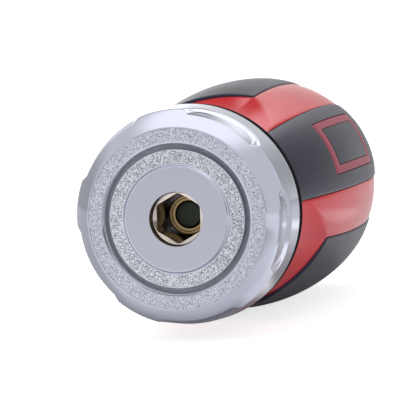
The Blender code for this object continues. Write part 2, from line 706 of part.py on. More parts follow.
# Neck collar: a dark spacer on the shank between the direction ring and the handle.
COLLAR_BORE = hexagon(SHANK_ACROSS_FLATS + 2.0 * SEAT_GAP)
neck_collar = add_piece("neck_collar", turned("neck_collar", [
    (COLLAR_BORE, COLLAR_FRONT),
    (COLLAR_R - COLLAR_EDGE, COLLAR_FRONT),
    (COLLAR_R, COLLAR_FRONT + COLLAR_EDGE),
    (COLLAR_R, COLLAR_BACK - COLLAR_EDGE),
    (COLLAR_R - COLLAR_EDGE, COLLAR_BACK),
    (COLLAR_BORE, COLLAR_BACK),
], closed=True), finish((0.025, 0.025, 0.03), 0.0, 0.45))


# Handle: the grips' skin swells from the neck to the bulb and closes in a blunt dome. The
# red core lies a little lower between the grips, and falls away to a waist ahead of a crease.
def skin_radius(depth):
    if depth < BULB_DEPTH:
        share = (BULB_DEPTH - depth) / (BULB_DEPTH - HANDLE_FRONT)
        return BULB_R - (BULB_R - NECK_R) * share ** 2
    share = (depth - BULB_DEPTH) / (OVERALL_LENGTH - BULB_DEPTH)
    return BULB_R * (1.0 - min(share, 1.0) ** DOME_POWER) ** (1.0 / DOME_POWER)


def side_grip_front(sideways):
    """Front edge of a side grip: furthest forward in its middle, swept back to its corners."""
    return SIDE_GRIP_FRONT + SIDE_GRIP_SWEEP * abs(sideways) ** SIDE_GRIP_POWER


def crease_depth(angle):
    """The crease runs from a long grip's edge back to a side grip's corner and along its front."""
    from_long = abs((angle - GRIP_ANGLE + 90.0) % 180.0 - 90.0)
    corner = 90.0 - SIDE_GRIP_HALF_ANGLE
    if from_long >= corner:
        return side_grip_front((90.0 - from_long) / SIDE_GRIP_HALF_ANGLE)
    share = max(from_long - LONG_GRIP_HALF_ANGLE, 0.0) / (corner - LONG_GRIP_HALF_ANGLE)
    return CREASE_NEAR + share * (side_grip_front(1.0) - CREASE_NEAR)


def core_radius(depth):
    """Radius of the red core at a depth, as a function of the angle."""
    def radius(angle):
        crease = crease_depth(angle)
        if depth >= crease:
            return skin_radius(depth) - STRIPE_DROP
        ahead = crease - depth
        fall = NECK_SLOPE * ahead * (1.0 - ahead / (2.0 * NECK_WAIST))
        return skin_radius(crease) - STRIPE_DROP - fall
    return radius


def dome_depth(radius):
    """Depth at which the core's dome has a radius."""
    share = (1.0 - ((radius + STRIPE_DROP) / BULB_R) ** DOME_POWER) ** (1.0 / DOME_POWER)
    return BULB_DEPTH + share * (OVERALL_LENGTH - BULB_DEPTH)


CORE_BORE = hexagon(SHANK_ACROSS_FLATS + 2.0 * SEAT_GAP)
core_profile = [
    (CORE_BORE, SHANK_BACK + SEAT_GAP),
    (CORE_BORE, HANDLE_FRONT),
]
NECK_STEPS = 9
DOME_STEPS = 8
for step in range(NECK_STEPS + 1):
    depth = HANDLE_FRONT + (BULB_DEPTH - HANDLE_FRONT) * step / NECK_STEPS
    core_profile.append((core_radius(depth), depth))
dome_start = math.acos(DOME_FLAT_R / BULB_R)
for step in range(1, DOME_STEPS + 1):
    radius = BULB_R * math.cos(dome_start * step / DOME_STEPS) - STRIPE_DROP
    core_profile.append((radius, dome_depth(radius)))
handle_core = add_piece("handle_core", turned("handle_core", core_profile), red_plastic())


def long_grip_half(depth):
    """Half width of a long grip in degrees: constant, with a foot that spreads to the collar."""
    foot = max(HANDLE_FRONT + LONG_GRIP_FOOT_LENGTH - depth, 0.0) / LONG_GRIP_FOOT_LENGTH
    return LONG_GRIP_HALF_ANGLE + LONG_GRIP_FOOT_ANGLE * foot ** 2


def grip_mesh(name, centre, half_width, front_edge, grid, margin=0.0, proud=0.0):
    """A curved pad: margin grows it sideways and inwards, and proud lifts its outer face."""
    across, along = grid
    form = bmesh.new()
    layers = []
    for outer in (True, False):
        rows = []
        for i in range(across + 1):
            sideways = 2.0 * i / across - 1.0
            front = front_edge(sideways) - margin
            row = []
            for j in range(along + 1):
                depth = front + (GRIP_REAR + margin - front) * j / along
                skin = skin_radius(max(depth, HANDLE_FRONT))
                spread = half_width(depth) + math.degrees(margin / skin)
                radius = skin + proud - GRIP_CROWN * sideways ** 4
                if not outer:
                    radius = skin - GRIP_THICKNESS - margin
                row.append(form.verts.new(at(radius, centre + sideways * spread, depth)))
            rows.append(row)
        layers.append(rows)
    top, under = layers
    for rows in layers:
        for i in range(across):
            for j in range(along):
                form.faces.new((rows[i][j], rows[i + 1][j], rows[i + 1][j + 1], rows[i][j + 1]))
    rim = [(i, 0) for i in range(across)] + [(across, j) for j in range(along)]
    rim += [(i, along) for i in range(across, 0, -1)] + [(0, j) for j in range(along, 0, -1)]
    for here, there in zip(rim, rim[1:] + rim[:1]):
        form.faces.new((top[here[0]][here[1]], top[there[0]][there[1]],
                        under[there[0]][there[1]], under[here[0]][here[1]]))
    return as_mesh(form, name)


FACET_COUNTS = {"long": (6, 16), "side": (12, 12)}
grips = {}
for name, turn, half, front, kind in (
        ("grip_upper", 0.0, long_grip_half, lambda s: HANDLE_FRONT, "long"),
        ("grip_lower", 180.0, long_grip_half, lambda s: HANDLE_FRONT, "long"),
        ("grip_left", 90.0, lambda d: SIDE_GRIP_HALF_ANGLE, side_grip_front, "side"),
        ("grip_right", 270.0, lambda d: SIDE_GRIP_HALF_ANGLE, side_grip_front, "side")):
    centre = GRIP_ANGLE + turn
    grid = FACET_COUNTS[kind]
    grips[name] = add_piece(name, grip_mesh(name, centre, half, front, grid), grey_rubber())
    pocket = grip_mesh("bed_" + name, centre, half, front, grid, SEAT_GAP, GRIP_THICKNESS)
    cut(handle_core, add_piece("bed_" + name, pocket))


# Badge frame: a plain red line let into a groove in the upper grip.
def badge_loop(inset, sink):
    """A rectangle on the grip's skin, inset from the badge's edge and sunk below the skin."""
    points = []
    corners = [(-1.0, -1.0), (1.0, -1.0), (1.0, 1.0), (-1.0, 1.0)]
    mid = (BADGE_FRONT + BADGE_REAR) / 2.0
    steps = 8
    for (s0, t0), (s1, t1) in zip(corners, corners[1:] + corners[:1]):
        for step in range(steps):
            s = s0 + (s1 - s0) * step / steps
            t = t0 + (t1 - t0) * step / steps
            depth = mid + t * ((BADGE_REAR - BADGE_FRONT) / 2.0 - inset)
            spread = BADGE_HALF_ANGLE - math.degrees(inset / BULB_R)
            sideways = s * spread / LONG_GRIP_HALF_ANGLE
            radius = skin_radius(depth) - GRIP_CROWN * sideways ** 4 - sink
            points.append(at(radius, GRIP_ANGLE + s * spread, depth))
    return points


def frame_mesh(name, line_margin, top, floor):
    outer, inner = -line_margin, BADGE_LINE + line_margin
    return loft(name, [badge_loop(outer, top), badge_loop(outer, floor),
                       badge_loop(inner, floor), badge_loop(inner, top)], closed=True)


badge_frame = add_piece("badge_frame", frame_mesh("badge_frame", 0.0, 0.0, BADGE_INLAY),
                        red_plastic())
cut(grips["grip_upper"], add_piece("badge_groove", frame_mesh(
    "badge_groove", RUN_GAP, -BADGE_INLAY, BADGE_INLAY + RUN_GAP)))
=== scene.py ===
"""Looks of a stubby ratcheting screwdriver that holds 1/4 inch hex bits.

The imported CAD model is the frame. The tool lies along +Y with its mouth towards -Y. Depths
are counted from the mouth, and angles run anticlockwise as seen from there.
"""

import math

import bmesh
import bpy
from mathutils import Matrix, Vector


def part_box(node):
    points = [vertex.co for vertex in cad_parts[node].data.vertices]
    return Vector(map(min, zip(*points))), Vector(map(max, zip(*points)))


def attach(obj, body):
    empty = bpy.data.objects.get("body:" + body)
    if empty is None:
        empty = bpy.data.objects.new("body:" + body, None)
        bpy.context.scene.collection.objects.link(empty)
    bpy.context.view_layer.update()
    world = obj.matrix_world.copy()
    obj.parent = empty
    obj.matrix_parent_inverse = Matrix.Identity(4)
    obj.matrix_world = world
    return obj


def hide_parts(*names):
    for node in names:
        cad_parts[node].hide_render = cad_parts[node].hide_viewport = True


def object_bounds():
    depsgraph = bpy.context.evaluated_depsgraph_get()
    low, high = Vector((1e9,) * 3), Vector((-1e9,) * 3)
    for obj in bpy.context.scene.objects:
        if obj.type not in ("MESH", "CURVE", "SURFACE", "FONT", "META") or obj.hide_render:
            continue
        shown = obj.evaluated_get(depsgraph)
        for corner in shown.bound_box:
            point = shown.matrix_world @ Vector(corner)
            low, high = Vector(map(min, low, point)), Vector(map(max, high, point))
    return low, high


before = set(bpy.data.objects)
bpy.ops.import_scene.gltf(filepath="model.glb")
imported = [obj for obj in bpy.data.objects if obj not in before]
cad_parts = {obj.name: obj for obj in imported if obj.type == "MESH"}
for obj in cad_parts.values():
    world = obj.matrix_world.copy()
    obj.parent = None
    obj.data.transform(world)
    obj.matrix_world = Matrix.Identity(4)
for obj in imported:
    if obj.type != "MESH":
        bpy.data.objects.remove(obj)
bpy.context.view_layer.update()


# Ratchet: body, wheel, two pawls on pins, leaf springs and clips, of hardened steel that was
# machined or stamped, then oiled. Only its zinc plated cover shows, as the floor of the groove
# in the nose.
MM = 0.001
MARK_DEPTH = 0.02 * MM
MARKS_PER_CLOUD = 4.0


def linear(hex_colour):
    """The linear colour of an sRGB hex value, as shader sockets take it."""
    shares = [int(hex_colour[i:i + 2], 16) / 255.0 for i in (1, 3, 5)]
    return (*[s / 12.92 if s <= 0.04045 else ((s + 0.055) / 1.055) ** 2.4 for s in shares], 1.0)


def add_node(tree, kind, settings=None, inputs=None):
    """Add a node, with its settings, and with each input set to a value or linked to a socket."""
    node = tree.nodes.new(kind)
    for name, value in (settings or {}).items():
        setattr(node, name, value)
    for key, value in (inputs or {}).items():
        if isinstance(value, bpy.types.NodeSocket):
            tree.links.new(value, node.inputs[key])
        else:
            node.inputs[key].default_value = value
    return node


def start_material(name):
    """An empty node material: its tree and the coordinates that its patterns read."""
    material = bpy.data.materials.new(name)
    material.use_nodes = True
    material.node_tree.nodes.clear()
    place = add_node(material.node_tree, "ShaderNodeTexCoord")
    return material, material.node_tree, place.outputs["Object"]


def worked_metal(name, dark, light, roughness, mark, metallic=1.0):
    """Metal as a tool or a die left it: satin, a little cloudy, with fine marks."""
    material, tree, place = start_material(name)
    cloud = add_node(tree, "ShaderNodeTexNoise", inputs={
        "Vector": place, "Scale": 1.0 / (MARKS_PER_CLOUD * mark), "Detail": 3.0})
    shade = add_node(tree, "ShaderNodeMix", {"data_type": "RGBA"}, {
        "Factor": cloud.outputs["Fac"], "A": linear(dark), "B": linear(light)})
    gloss = add_node(tree, "ShaderNodeMapRange", inputs={
        "Value": cloud.outputs["Fac"], "To Min": roughness * 0.8, "To Max": roughness * 1.25})
    marks = add_node(tree, "ShaderNodeTexNoise", inputs={
        "Vector": place, "Scale": 1.0 / mark, "Detail": 2.0})
    bump = add_node(tree, "ShaderNodeBump", inputs={
        "Strength": 0.25, "Distance": MARK_DEPTH, "Height": marks.outputs["Fac"]})
    surface = add_node(tree, "ShaderNodeBsdfPrincipled", inputs={
        "Base Color": shade.outputs["Result"], "Metallic": metallic,
        "Roughness": gloss.outputs["Result"], "Normal": bump.outputs["Normal"]})
    add_node(tree, "ShaderNodeOutputMaterial", inputs={"Surface": surface.outputs[0]})
    return material


# Tool marks are about 0.1 mm apart. They are drawn three times as coarse, so that they show.
# Oil darkens the hardened steel, blueing darkens the springs, and grinding leaves the pins and
# the ball bright. Dull zinc scatters light as paint does, so it isn't metallic to the shader.
TOOL_MARK = 0.3 * MM
hardened_steel = worked_metal("hardened steel, oiled", "#5E5E63", "#77777C", 0.42, TOOL_MARK)
spring_steel = worked_metal("spring steel, blued", "#3C3F49", "#55565E", 0.33, TOOL_MARK)
bearing_steel = worked_metal("bearing steel, ground", "#9A9A9E", "#B4B4B8", 0.16, TOOL_MARK)
sheet_brass = worked_metal("sheet brass, stamped", "#A98B4E", "#C2A264", 0.34, TOOL_MARK)
zinc_plate = worked_metal("zinc plated steel, dull", "#D3D4DD", "#E2E3ED", 0.7, TOOL_MARK, 0.0)

for material, names in (
        (hardened_steel, ("ratchet_body", "ratchet_wheel", "pawl_left", "pawl_right")),
        (spring_steel, ("ring_retainer", "retaining_clip", "pawl_spring_left", "pawl_spring_right",
                        "detent_spring")),
        (bearing_steel, ("pawl_pin_left", "pawl_pin_right", "detent_ball")),
        (zinc_plate, ("pawl_cover",)),
        (sheet_brass, ("thrust_washer",))):
    for name in names:
        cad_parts[name].material_slots[0].material = material


# Spindle: turned steel, chromed. Its nose has a smooth raised disc and a blasted flange round
# it. The hex socket is broached below a short throat, whose floor is a shallow cone, and both
# stay bare.
MOUTH_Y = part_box("direction_ring")[0].y
CRISP = math.radians(32.0)


def at(radius, angle, depth):
    """The point at a radius, an angle in degrees and a depth behind the mouth."""
    turn = math.radians(angle)
    return (radius * math.cos(turn), MOUTH_Y + depth, radius * math.sin(turn))


def even(count):
    """Angles of equal steps round the axis."""
    return [360.0 * step / count for step in range(count)]


def rounded(corners, steps=3):
    """A profile of radius and depth whose corners are eased over their third value on each side."""
    points = []
    for index, (r, d, ease) in enumerate(corners):
        if not ease:
            points.append((r, d))
            continue
        arms = []
        for r_next, d_next, _ in (corners[index - 1], corners[(index + 1) % len(corners)]):
            length = math.hypot(r_next - r, d_next - d)
            # An ease ends short of the middle of an edge, so that two never meet.
            share = min(ease / length, 0.49)
            arms.append((r + (r_next - r) * share, d + (d_next - d) * share))
        for step in range(steps + 1):
            t = step / steps
            a, b, c = (1.0 - t) ** 2, 2.0 * t * (1.0 - t), t * t
            points.append(tuple(a * p + b * q + c * s for p, q, s in zip(arms[0], (r, d), arms[1])))
    return points


def put(name, mesh, materials):
    """Show a finished mesh as a smooth piece whose hard edges stay crisp."""
    piece = bpy.data.objects.new(name, mesh)
    bpy.context.scene.collection.objects.link(piece)
    for material in materials:
        mesh.materials.append(material)
    mesh.shade_smooth()
    mesh.set_sharp_from_angle(angle=CRISP)
    return piece


def skin(name, loops, closed=True, bands=None):
    """Join loops of points into a closed mesh. Bands give each step between loops its finish."""
    form = bmesh.new()
    rows = [[form.verts.new(point) for point in loop] for loop in loops]
    joins = list(zip(rows, rows[1:])) + ([(rows[-1], rows[0])] if closed else [])
    for band, (upper, lower) in enumerate(joins):
        for here in range(len(upper)):
            there = here - 1
            face = form.faces.new((upper[there], upper[here], lower[here], lower[there]))
            face.material_index = bands[band] if bands else 0
    if not closed:
        for row in (rows[0], rows[-1]):
            middle = form.verts.new([sum(v.co[i] for v in row) / len(row) for i in range(3)])
            for here in range(len(row)):
                form.faces.new((row[here - 1], row[here], middle))
    bmesh.ops.recalc_face_normals(form, faces=form.faces)
    mesh = bpy.data.meshes.new(name)
    form.to_mesh(mesh)
    form.free()
    return mesh


def turned(profile, angles):
    """Loops round the axis from pairs of radius and depth, each a number or made from the angle."""
    return [[at(r(a) if callable(r) else r, a, d(a) if callable(d) else d) for a in angles]
            for r, d in profile]


def chrome(name, tint, roughness, wave):
    """Polished chrome plate: a bright blue-grey mirror with a slight waviness and wipe marks."""
    material, tree, place = start_material(name)
    haze = add_node(tree, "ShaderNodeTexNoise", inputs={
        "Vector": place, "Scale": 1.0 / WIPE_MARK, "Detail": 4.0})
    gloss = add_node(tree, "ShaderNodeMapRange", inputs={
        "Value": haze.outputs["Fac"], "To Min": roughness * 0.7, "To Max": roughness * 1.4})
    waves = add_node(tree, "ShaderNodeTexNoise", inputs={
        "Vector": place, "Scale": 1.0 / wave, "Detail": 1.0})
    bump = add_node(tree, "ShaderNodeBump", inputs={
        "Strength": 0.2, "Distance": MARK_DEPTH, "Height": waves.outputs["Fac"]})
    surface = add_node(tree, "ShaderNodeBsdfPrincipled", inputs={
        "Base Color": linear(tint), "Metallic": 1.0,
        "Roughness": gloss.outputs["Result"], "Normal": bump.outputs["Normal"]})
    add_node(tree, "ShaderNodeOutputMaterial", inputs={"Surface": surface.outputs[0]})
    return material


def blasted_chrome(name, pit_shade, peak_glint, grit, depth):
    """Chrome over a blasted face: each grit mark is a bumped dimple, and its sparkle is partly
    painted, with painted shade in the pits and painted glints on the peaks.
    """
    material, tree, place = start_material(name)
    dimples = add_node(tree, "ShaderNodeTexNoise", inputs={
        "Vector": place, "Scale": 1.0 / grit, "Detail": 2.5, "Roughness": 0.6})
    contrast = add_node(tree, "ShaderNodeMapRange", inputs={
        "Value": dimples.outputs["Fac"], "From Min": GRIT_RANGE[0], "From Max": GRIT_RANGE[1]})
    # Painted sparkle: the base colour runs from painted shade in the pits to painted glints on the
    # peaks.
    shade = add_node(tree, "ShaderNodeMix", {"data_type": "RGBA"}, {
        "Factor": contrast.outputs["Result"], "A": linear(pit_shade), "B": linear(peak_glint)})
    bump = add_node(tree, "ShaderNodeBump", inputs={
        "Strength": 0.8, "Distance": depth, "Height": dimples.outputs["Fac"]})
    surface = add_node(tree, "ShaderNodeBsdfPrincipled", inputs={
        "Base Color": shade.outputs["Result"], "Metallic": 1.0,
        "Roughness": BLAST_ROUGHNESS, "Normal": bump.outputs["Normal"]})
    add_node(tree, "ShaderNodeOutputMaterial", inputs={"Surface": surface.outputs[0]})
    return material


# Polished chrome mirrors the tent, satin chrome blurs it, and blasting breaks it into sparks, which
# are partly bumps and partly painted glints and shade.
# The grit is about 0.1 mm and is drawn half as coarse again, so that it shows. Ground steel is
# bright and warm, and oil leaves the broached walls brown.
PLATE_WAVE = 2.5 * MM
WIPE_MARK = 3.0 * MM
GRIT_RANGE = (0.32, 0.68)
BLAST_ROUGHNESS = 0.36
NOSE_GRIT = 0.16 * MM
NOSE_GRIT_DEPTH = 0.04 * MM
polished_chrome = chrome("chrome plate, polished", "#B6B9C6", 0.13, PLATE_WAVE)
satin_chrome = chrome("chrome plate, satin", "#A8AAB5", 0.20, PLATE_WAVE)
nose_blast = blasted_chrome(
    "chrome plate, coarse blasted", "#4E515A", "#E6E8F0", NOSE_GRIT, NOSE_GRIT_DEPTH)
ground_steel = worked_metal("ground steel, bare", "#BAAFA7", "#E0D6CE", 0.14, TOOL_MARK)
broached_steel = worked_metal("broached steel, oiled", "#74645A", "#A08F81", 0.20, TOOL_MARK)

HEX_FLAT_R = 3.27 * MM
HEX_CORNER_R = 3.66 * MM
MOUTH_R = 4.0 * MM
THROAT_R = 3.82 * MM
THROAT_DEPTH = 1.3 * MM
CONE_R = 3.70 * MM
CONE_SLOPE = 0.55
SOCKET_DEPTH = 11.8 * MM
DISC_R = 8.0 * MM
DISC_HEIGHT = 0.4 * MM
DISC_SLOPE = 0.3 * MM
FLANGE_R = 10.18 * MM
FLANGE_BACK = 2.0 * MM
NOSE_EDGE = 0.16 * MM
THROAT_EDGE = 0.07 * MM
MOUTH_EDGE = 0.05 * MM
HUB_R = 6.9 * MM
SEAT_R = 5.6 * MM
SEAT_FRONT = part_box("ratchet_wheel")[0].y - MOUTH_Y
SEAT_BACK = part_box("ratchet_wheel")[1].y - MOUTH_Y
JOURNAL_R = 4.6 * MM
CLIP_GROOVE_R = 3.8 * MM
CLIP_GROOVE = [side.y - MOUTH_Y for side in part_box("retaining_clip")]
SPINDLE_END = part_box("spindle")[1].y - MOUTH_Y
NOSE_COLUMNS = 240


def hex_wall(angle):
    """Radius of the socket's wall, whose first flat faces angle 0, with eased corners."""
    from_flat = math.radians((angle + 30.0) % 60.0 - 30.0)
    return min(HEX_FLAT_R / math.cos(from_flat), HEX_CORNER_R)


def countersink(angle):
    """Depth at which the throat's floor, a shallow cone, meets the socket's wall."""
    return THROAT_DEPTH + CONE_SLOPE * (THROAT_R - hex_wall(angle))


socket_rows = [(hex_wall, SOCKET_DEPTH), (hex_wall, SOCKET_DEPTH / 2.0), (hex_wall, countersink)]
nose_rows = rounded([
    (CONE_R, THROAT_DEPTH + CONE_SLOPE * (THROAT_R - CONE_R), 0.0),
    (THROAT_R, THROAT_DEPTH, THROAT_EDGE),
    (MOUTH_R, 0.0, MOUTH_EDGE),
    (MOUTH_R + NOSE_EDGE, 0.0, 0.0),
    (DISC_R - DISC_SLOPE - 2.0 * NOSE_EDGE, 0.0, 0.0),
    (DISC_R - DISC_SLOPE, 0.0, NOSE_EDGE),
    (DISC_R, DISC_HEIGHT, NOSE_EDGE),
    (FLANGE_R, DISC_HEIGHT, NOSE_EDGE),
    (FLANGE_R, FLANGE_BACK, NOSE_EDGE),
    (HUB_R, FLANGE_BACK, 0.0),
    (HUB_R, SEAT_FRONT, 0.0),
    (SEAT_R, SEAT_FRONT, 0.0),
    (SEAT_R, SEAT_BACK, 0.0),
    (JOURNAL_R, SEAT_BACK, 0.0),
    (JOURNAL_R, CLIP_GROOVE[0], 0.0),
    (CLIP_GROOVE_R, CLIP_GROOVE[0], 0.0),
    (CLIP_GROOVE_R, CLIP_GROOVE[1], 0.0),
    (JOURNAL_R, CLIP_GROOVE[1], 0.0),
    (JOURNAL_R, SPINDLE_END, NOSE_EDGE),
])
spindle_metals = (polished_chrome, satin_chrome, nose_blast, broached_steel, ground_steel)
POLISHED, SATIN, BLASTED, BROACHED, GROUND = range(len(spindle_metals))


def nose_finish(row, next_row):
    """Finish of one step of the nose: ground cone, satin disc, blasted flange, polished edges."""
    middle = (row[0] + next_row[0]) / 2.0
    if middle < THROAT_R:
        return GROUND
    if row[1] == next_row[1] == 0.0 and middle < DISC_R:
        return SATIN
    return BLASTED if row[1] == next_row[1] == DISC_HEIGHT and middle > DISC_R else POLISHED


spindle_bands = [BROACHED, BROACHED, GROUND]
spindle_bands += [nose_finish(a, b) for a, b in zip(nose_rows, nose_rows[1:])]
spindle = put(
    "spindle_nose",
    skin("spindle_nose", turned(socket_rows + nose_rows, even(NOSE_COLUMNS)), False, spindle_bands),
    spindle_metals)
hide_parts("spindle")
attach(spindle, "drive_spindle")


# Magnet and cup: a dark sintered disc pressed into a drawn brass cup at the socket's bottom.
# The cup's rim is rolled over, so it shows as a bright gold ring round the dull black disc.
CUP_R = 3.05 * MM
CUP_BORE_R = 2.02 * MM
CUP_STEP_R = 2.5 * MM
CUP_STEP = 0.3 * MM
CUP_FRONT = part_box("magnet_cup")[0].y - MOUTH_Y
CUP_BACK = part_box("magnet_cup")[1].y - MOUTH_Y
CUP_FLOOR = 0.7 * MM
CUP_BORE_EASE = 0.18 * MM
CUP_STEP_EASE = 0.10 * MM
CUP_STEP_ROOT = 0.12 * MM
CUP_RIM_EASE = 0.25 * MM
CUP_BACK_EASE = 0.3 * MM
CUP_COLUMNS = 96
MAGNET_R = 1.95 * MM
MAGNET_FACE_EASE = 0.2 * MM
MAGNET_BACK_EASE = 0.1 * MM
MAGNET_GRAIN = 0.5 * TOOL_MARK
MAGNET_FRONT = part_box("magnet")[0].y - MOUTH_Y
MAGNET_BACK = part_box("magnet")[1].y - MOUTH_Y

drawn_brass = worked_metal("drawn brass", "#766449", "#988460", 0.22, TOOL_MARK)
sintered_magnet = worked_metal("sintered magnet", "#23271F", "#383C36", 0.38, MAGNET_GRAIN)

magnet_cup = put("magnet_cup_drawn", skin("magnet_cup_drawn", turned(rounded([
    (CUP_BORE_R, CUP_BACK - CUP_FLOOR, 0.0),
    (CUP_BORE_R, CUP_FRONT, CUP_BORE_EASE),
    (CUP_STEP_R, CUP_FRONT, CUP_STEP_EASE),
    (CUP_STEP_R, CUP_FRONT - CUP_STEP, CUP_STEP_ROOT),
    (CUP_R, CUP_FRONT - CUP_STEP, CUP_RIM_EASE),
    (CUP_R, CUP_BACK, CUP_BACK_EASE),
    (CUP_R / 2.0, CUP_BACK, 0.0),
], steps=5), even(CUP_COLUMNS)), False), (drawn_brass,))
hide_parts("magnet_cup")
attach(magnet_cup, "drive_spindle")

magnet = put("magnet_disc", skin("magnet_disc", turned(rounded([
    (MAGNET_R / 2.0, MAGNET_FRONT, 0.0),
    (MAGNET_R, MAGNET_FRONT, MAGNET_FACE_EASE),
    (MAGNET_R, MAGNET_BACK, MAGNET_BACK_EASE),
    (MAGNET_R / 2.0, MAGNET_BACK, 0.0),
], steps=4), even(CUP_COLUMNS)), False), (sintered_magnet,))
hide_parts("magnet")
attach(magnet, "drive_spindle")


# Direction ring: a cast and chromed cap that thumb and finger turn. Its front is blasted, its bevel
# polished and its wall a lighter chrome than the bevel, a painted highlight, and five thumb
# scallops are cut into its shoulder.
RING_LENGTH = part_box("direction_ring")[1].y - MOUTH_Y
RING_WINDOW_R = 11.0 * MM
WINDOW_CHAMFER = 0.3 * MM
WINDOW_CHAMFER_DEPTH = 0.24 * MM
RING_FACE_R = 13.35 * MM
RING_SHOULDER_R = 15.85 * MM
RING_SHOULDER = 2.8 * MM
RING_BULGE = 0.3
RING_RIM_R = 16.3 * MM
RING_EDGE = 0.35 * MM
EDGE_ROUND = 0.3
WALL_END = RING_LENGTH - RING_EDGE
RING_LIP = 2.0 * MM
FACE_SINK = 0.1 * MM
FACE_RIM = 0.2 * MM
FACE_RIM_TOP = 0.7 * FACE_RIM
FACE_EASE = 0.05 * MM
WINDOW_EASE = 0.06 * MM
CHAMFER_EASE = 0.03 * MM
RING_BORE_R = 13.25 * MM
# Each of these turned recesses in the bore has its radius, its front and its back.
PAWL_RELIEF = (13.6 * MM, 3.1 * MM, RING_LENGTH - 1.7 * MM)
RETAINER_GROOVE = (13.95 * MM, RING_LENGTH - 1.45 * MM, RING_LENGTH - 0.35 * MM)
RING_COLUMNS = 600
BEVEL_ROWS = 24
WALL_ROWS = 34


def bevel_point(share):
    """A point of the slightly bulged bevel, from the face's edge to the shoulder."""
    out = share * (1.0 + RING_BULGE) - RING_BULGE * share ** 2
    return (RING_FACE_R + (RING_SHOULDER_R - RING_FACE_R) * out, RING_SHOULDER * share)


ring_rows = rounded([
    (RING_WINDOW_R, RING_LIP, 0.0),
    (RING_WINDOW_R, WINDOW_CHAMFER_DEPTH, WINDOW_EASE),
    (RING_WINDOW_R + WINDOW_CHAMFER, FACE_SINK, CHAMFER_EASE),
    (RING_FACE_R - FACE_RIM, FACE_SINK, 0.0),
    (RING_FACE_R - FACE_RIM_TOP, 0.0, 0.0),
    (RING_FACE_R, 0.0, FACE_EASE),
    (*bevel_point(1.0 / BEVEL_ROWS), 0.0),
])
blasted_start = min(i for i, row in enumerate(ring_rows) if row[0] > RING_WINDOW_R + WINDOW_CHAMFER)
blasted_stop = max(i for i, row in enumerate(ring_rows) if row[0] < RING_FACE_R - FACE_RIM / 2.0)
ring_rows += [bevel_point(row / BEVEL_ROWS) for row in range(2, BEVEL_ROWS)]
wall_start = len(ring_rows)
for row in range(WALL_ROWS + 1):
    share = row / WALL_ROWS
    ring_rows.append((RING_SHOULDER_R + (RING_RIM_R - RING_SHOULDER_R) * share,
                      RING_SHOULDER + (WALL_END - RING_SHOULDER) * share))
ring_rows += [(RING_RIM_R - RING_EDGE * EDGE_ROUND, RING_LENGTH - RING_EDGE * EDGE_ROUND)]
wall_stop = len(ring_rows)
ring_rows += [(RING_RIM_R - RING_EDGE, RING_LENGTH), (RING_BORE_R, RING_LENGTH)]
for deep, front, back in (RETAINER_GROOVE, PAWL_RELIEF):
    ring_rows += [(RING_BORE_R, back), (deep, back), (deep, front), (RING_BORE_R, front)]
ring_rows.append((RING_BORE_R, RING_LIP))

# The finer grit is drawn coarser too. The window's wall is painted pale and dull, standing in for
# light falling into the groove, and the outer wall's chrome is a lighter copy of the polished
# chrome, a painted highlight that makes it the brightest mirror of all.
RING_GRIT = 0.15 * MM
RING_GRIT_DEPTH = 0.03 * MM
ring_blast = blasted_chrome(
    "chrome plate, fine blasted", "#727582", "#D7DAE4", RING_GRIT, RING_GRIT_DEPTH)
window_wall_painted_pale = worked_metal("zinc casting, painted pale", "#D0D1DA", "#DEDFE8", 0.6, TOOL_MARK, 0.0)
wall_chrome_painted_lighter = chrome("chrome plate, painted lighter", "#C9CCD9", 0.13, PLATE_WAVE)

ring_mesh = skin("direction_ring_chromed", turned(ring_rows, even(RING_COLUMNS)))
ring_finishes = (
    ("window", 0, 1, window_wall_painted_pale),
    ("blasted", blasted_start, blasted_stop - 1, ring_blast),
    ("wall", wall_start, wall_stop, wall_chrome_painted_lighter))
for label, start, stop, metal in ring_finishes:
    finished = ring_mesh.attributes.new(label, "BOOLEAN", "FACE")
    for index, flag in enumerate(finished.data):
        flag.value = start <= index // RING_COLUMNS < stop

# The scallop rule: a cutter sweeps in from the front, and its floor rises a little to the back.
# Past the outline of its floor, which has rounded back corners, its wall climbs out of the ring.
scallop_tree = bpy.data.node_groups.new("thumb scallops", "GeometryNodeTree")
scallop_inputs = {}
for label, kind, value in (
        ("Ring", "NodeSocketGeometry", None),
        ("Count", "NodeSocketInt", 5),
        ("First Angle", "NodeSocketFloat", math.radians(64.3)),
        ("Mouth", "NodeSocketFloat", MOUTH_Y),
        ("Floor Radius", "NodeSocketFloat", 14.95 * MM),
        ("Floor Slope", "NodeSocketFloat", 0.13),
        ("Half Width", "NodeSocketFloat", 5.2 * MM),
        ("Back", "NodeSocketFloat", 4.65 * MM),
        ("Corner", "NodeSocketFloat", 2.0 * MM),
        ("Wall Slope", "NodeSocketFloat", 0.65),
        ("Edge Softness", "NodeSocketFloat", 0.26 * MM)):
    socket = scallop_tree.interface.new_socket(label, in_out="INPUT", socket_type=kind)
    scallop_inputs[label] = (socket.identifier, value)
scallop_tree.interface.new_socket("Ring", in_out="OUTPUT", socket_type="NodeSocketGeometry")
given = add_node(scallop_tree, "NodeGroupInput").outputs

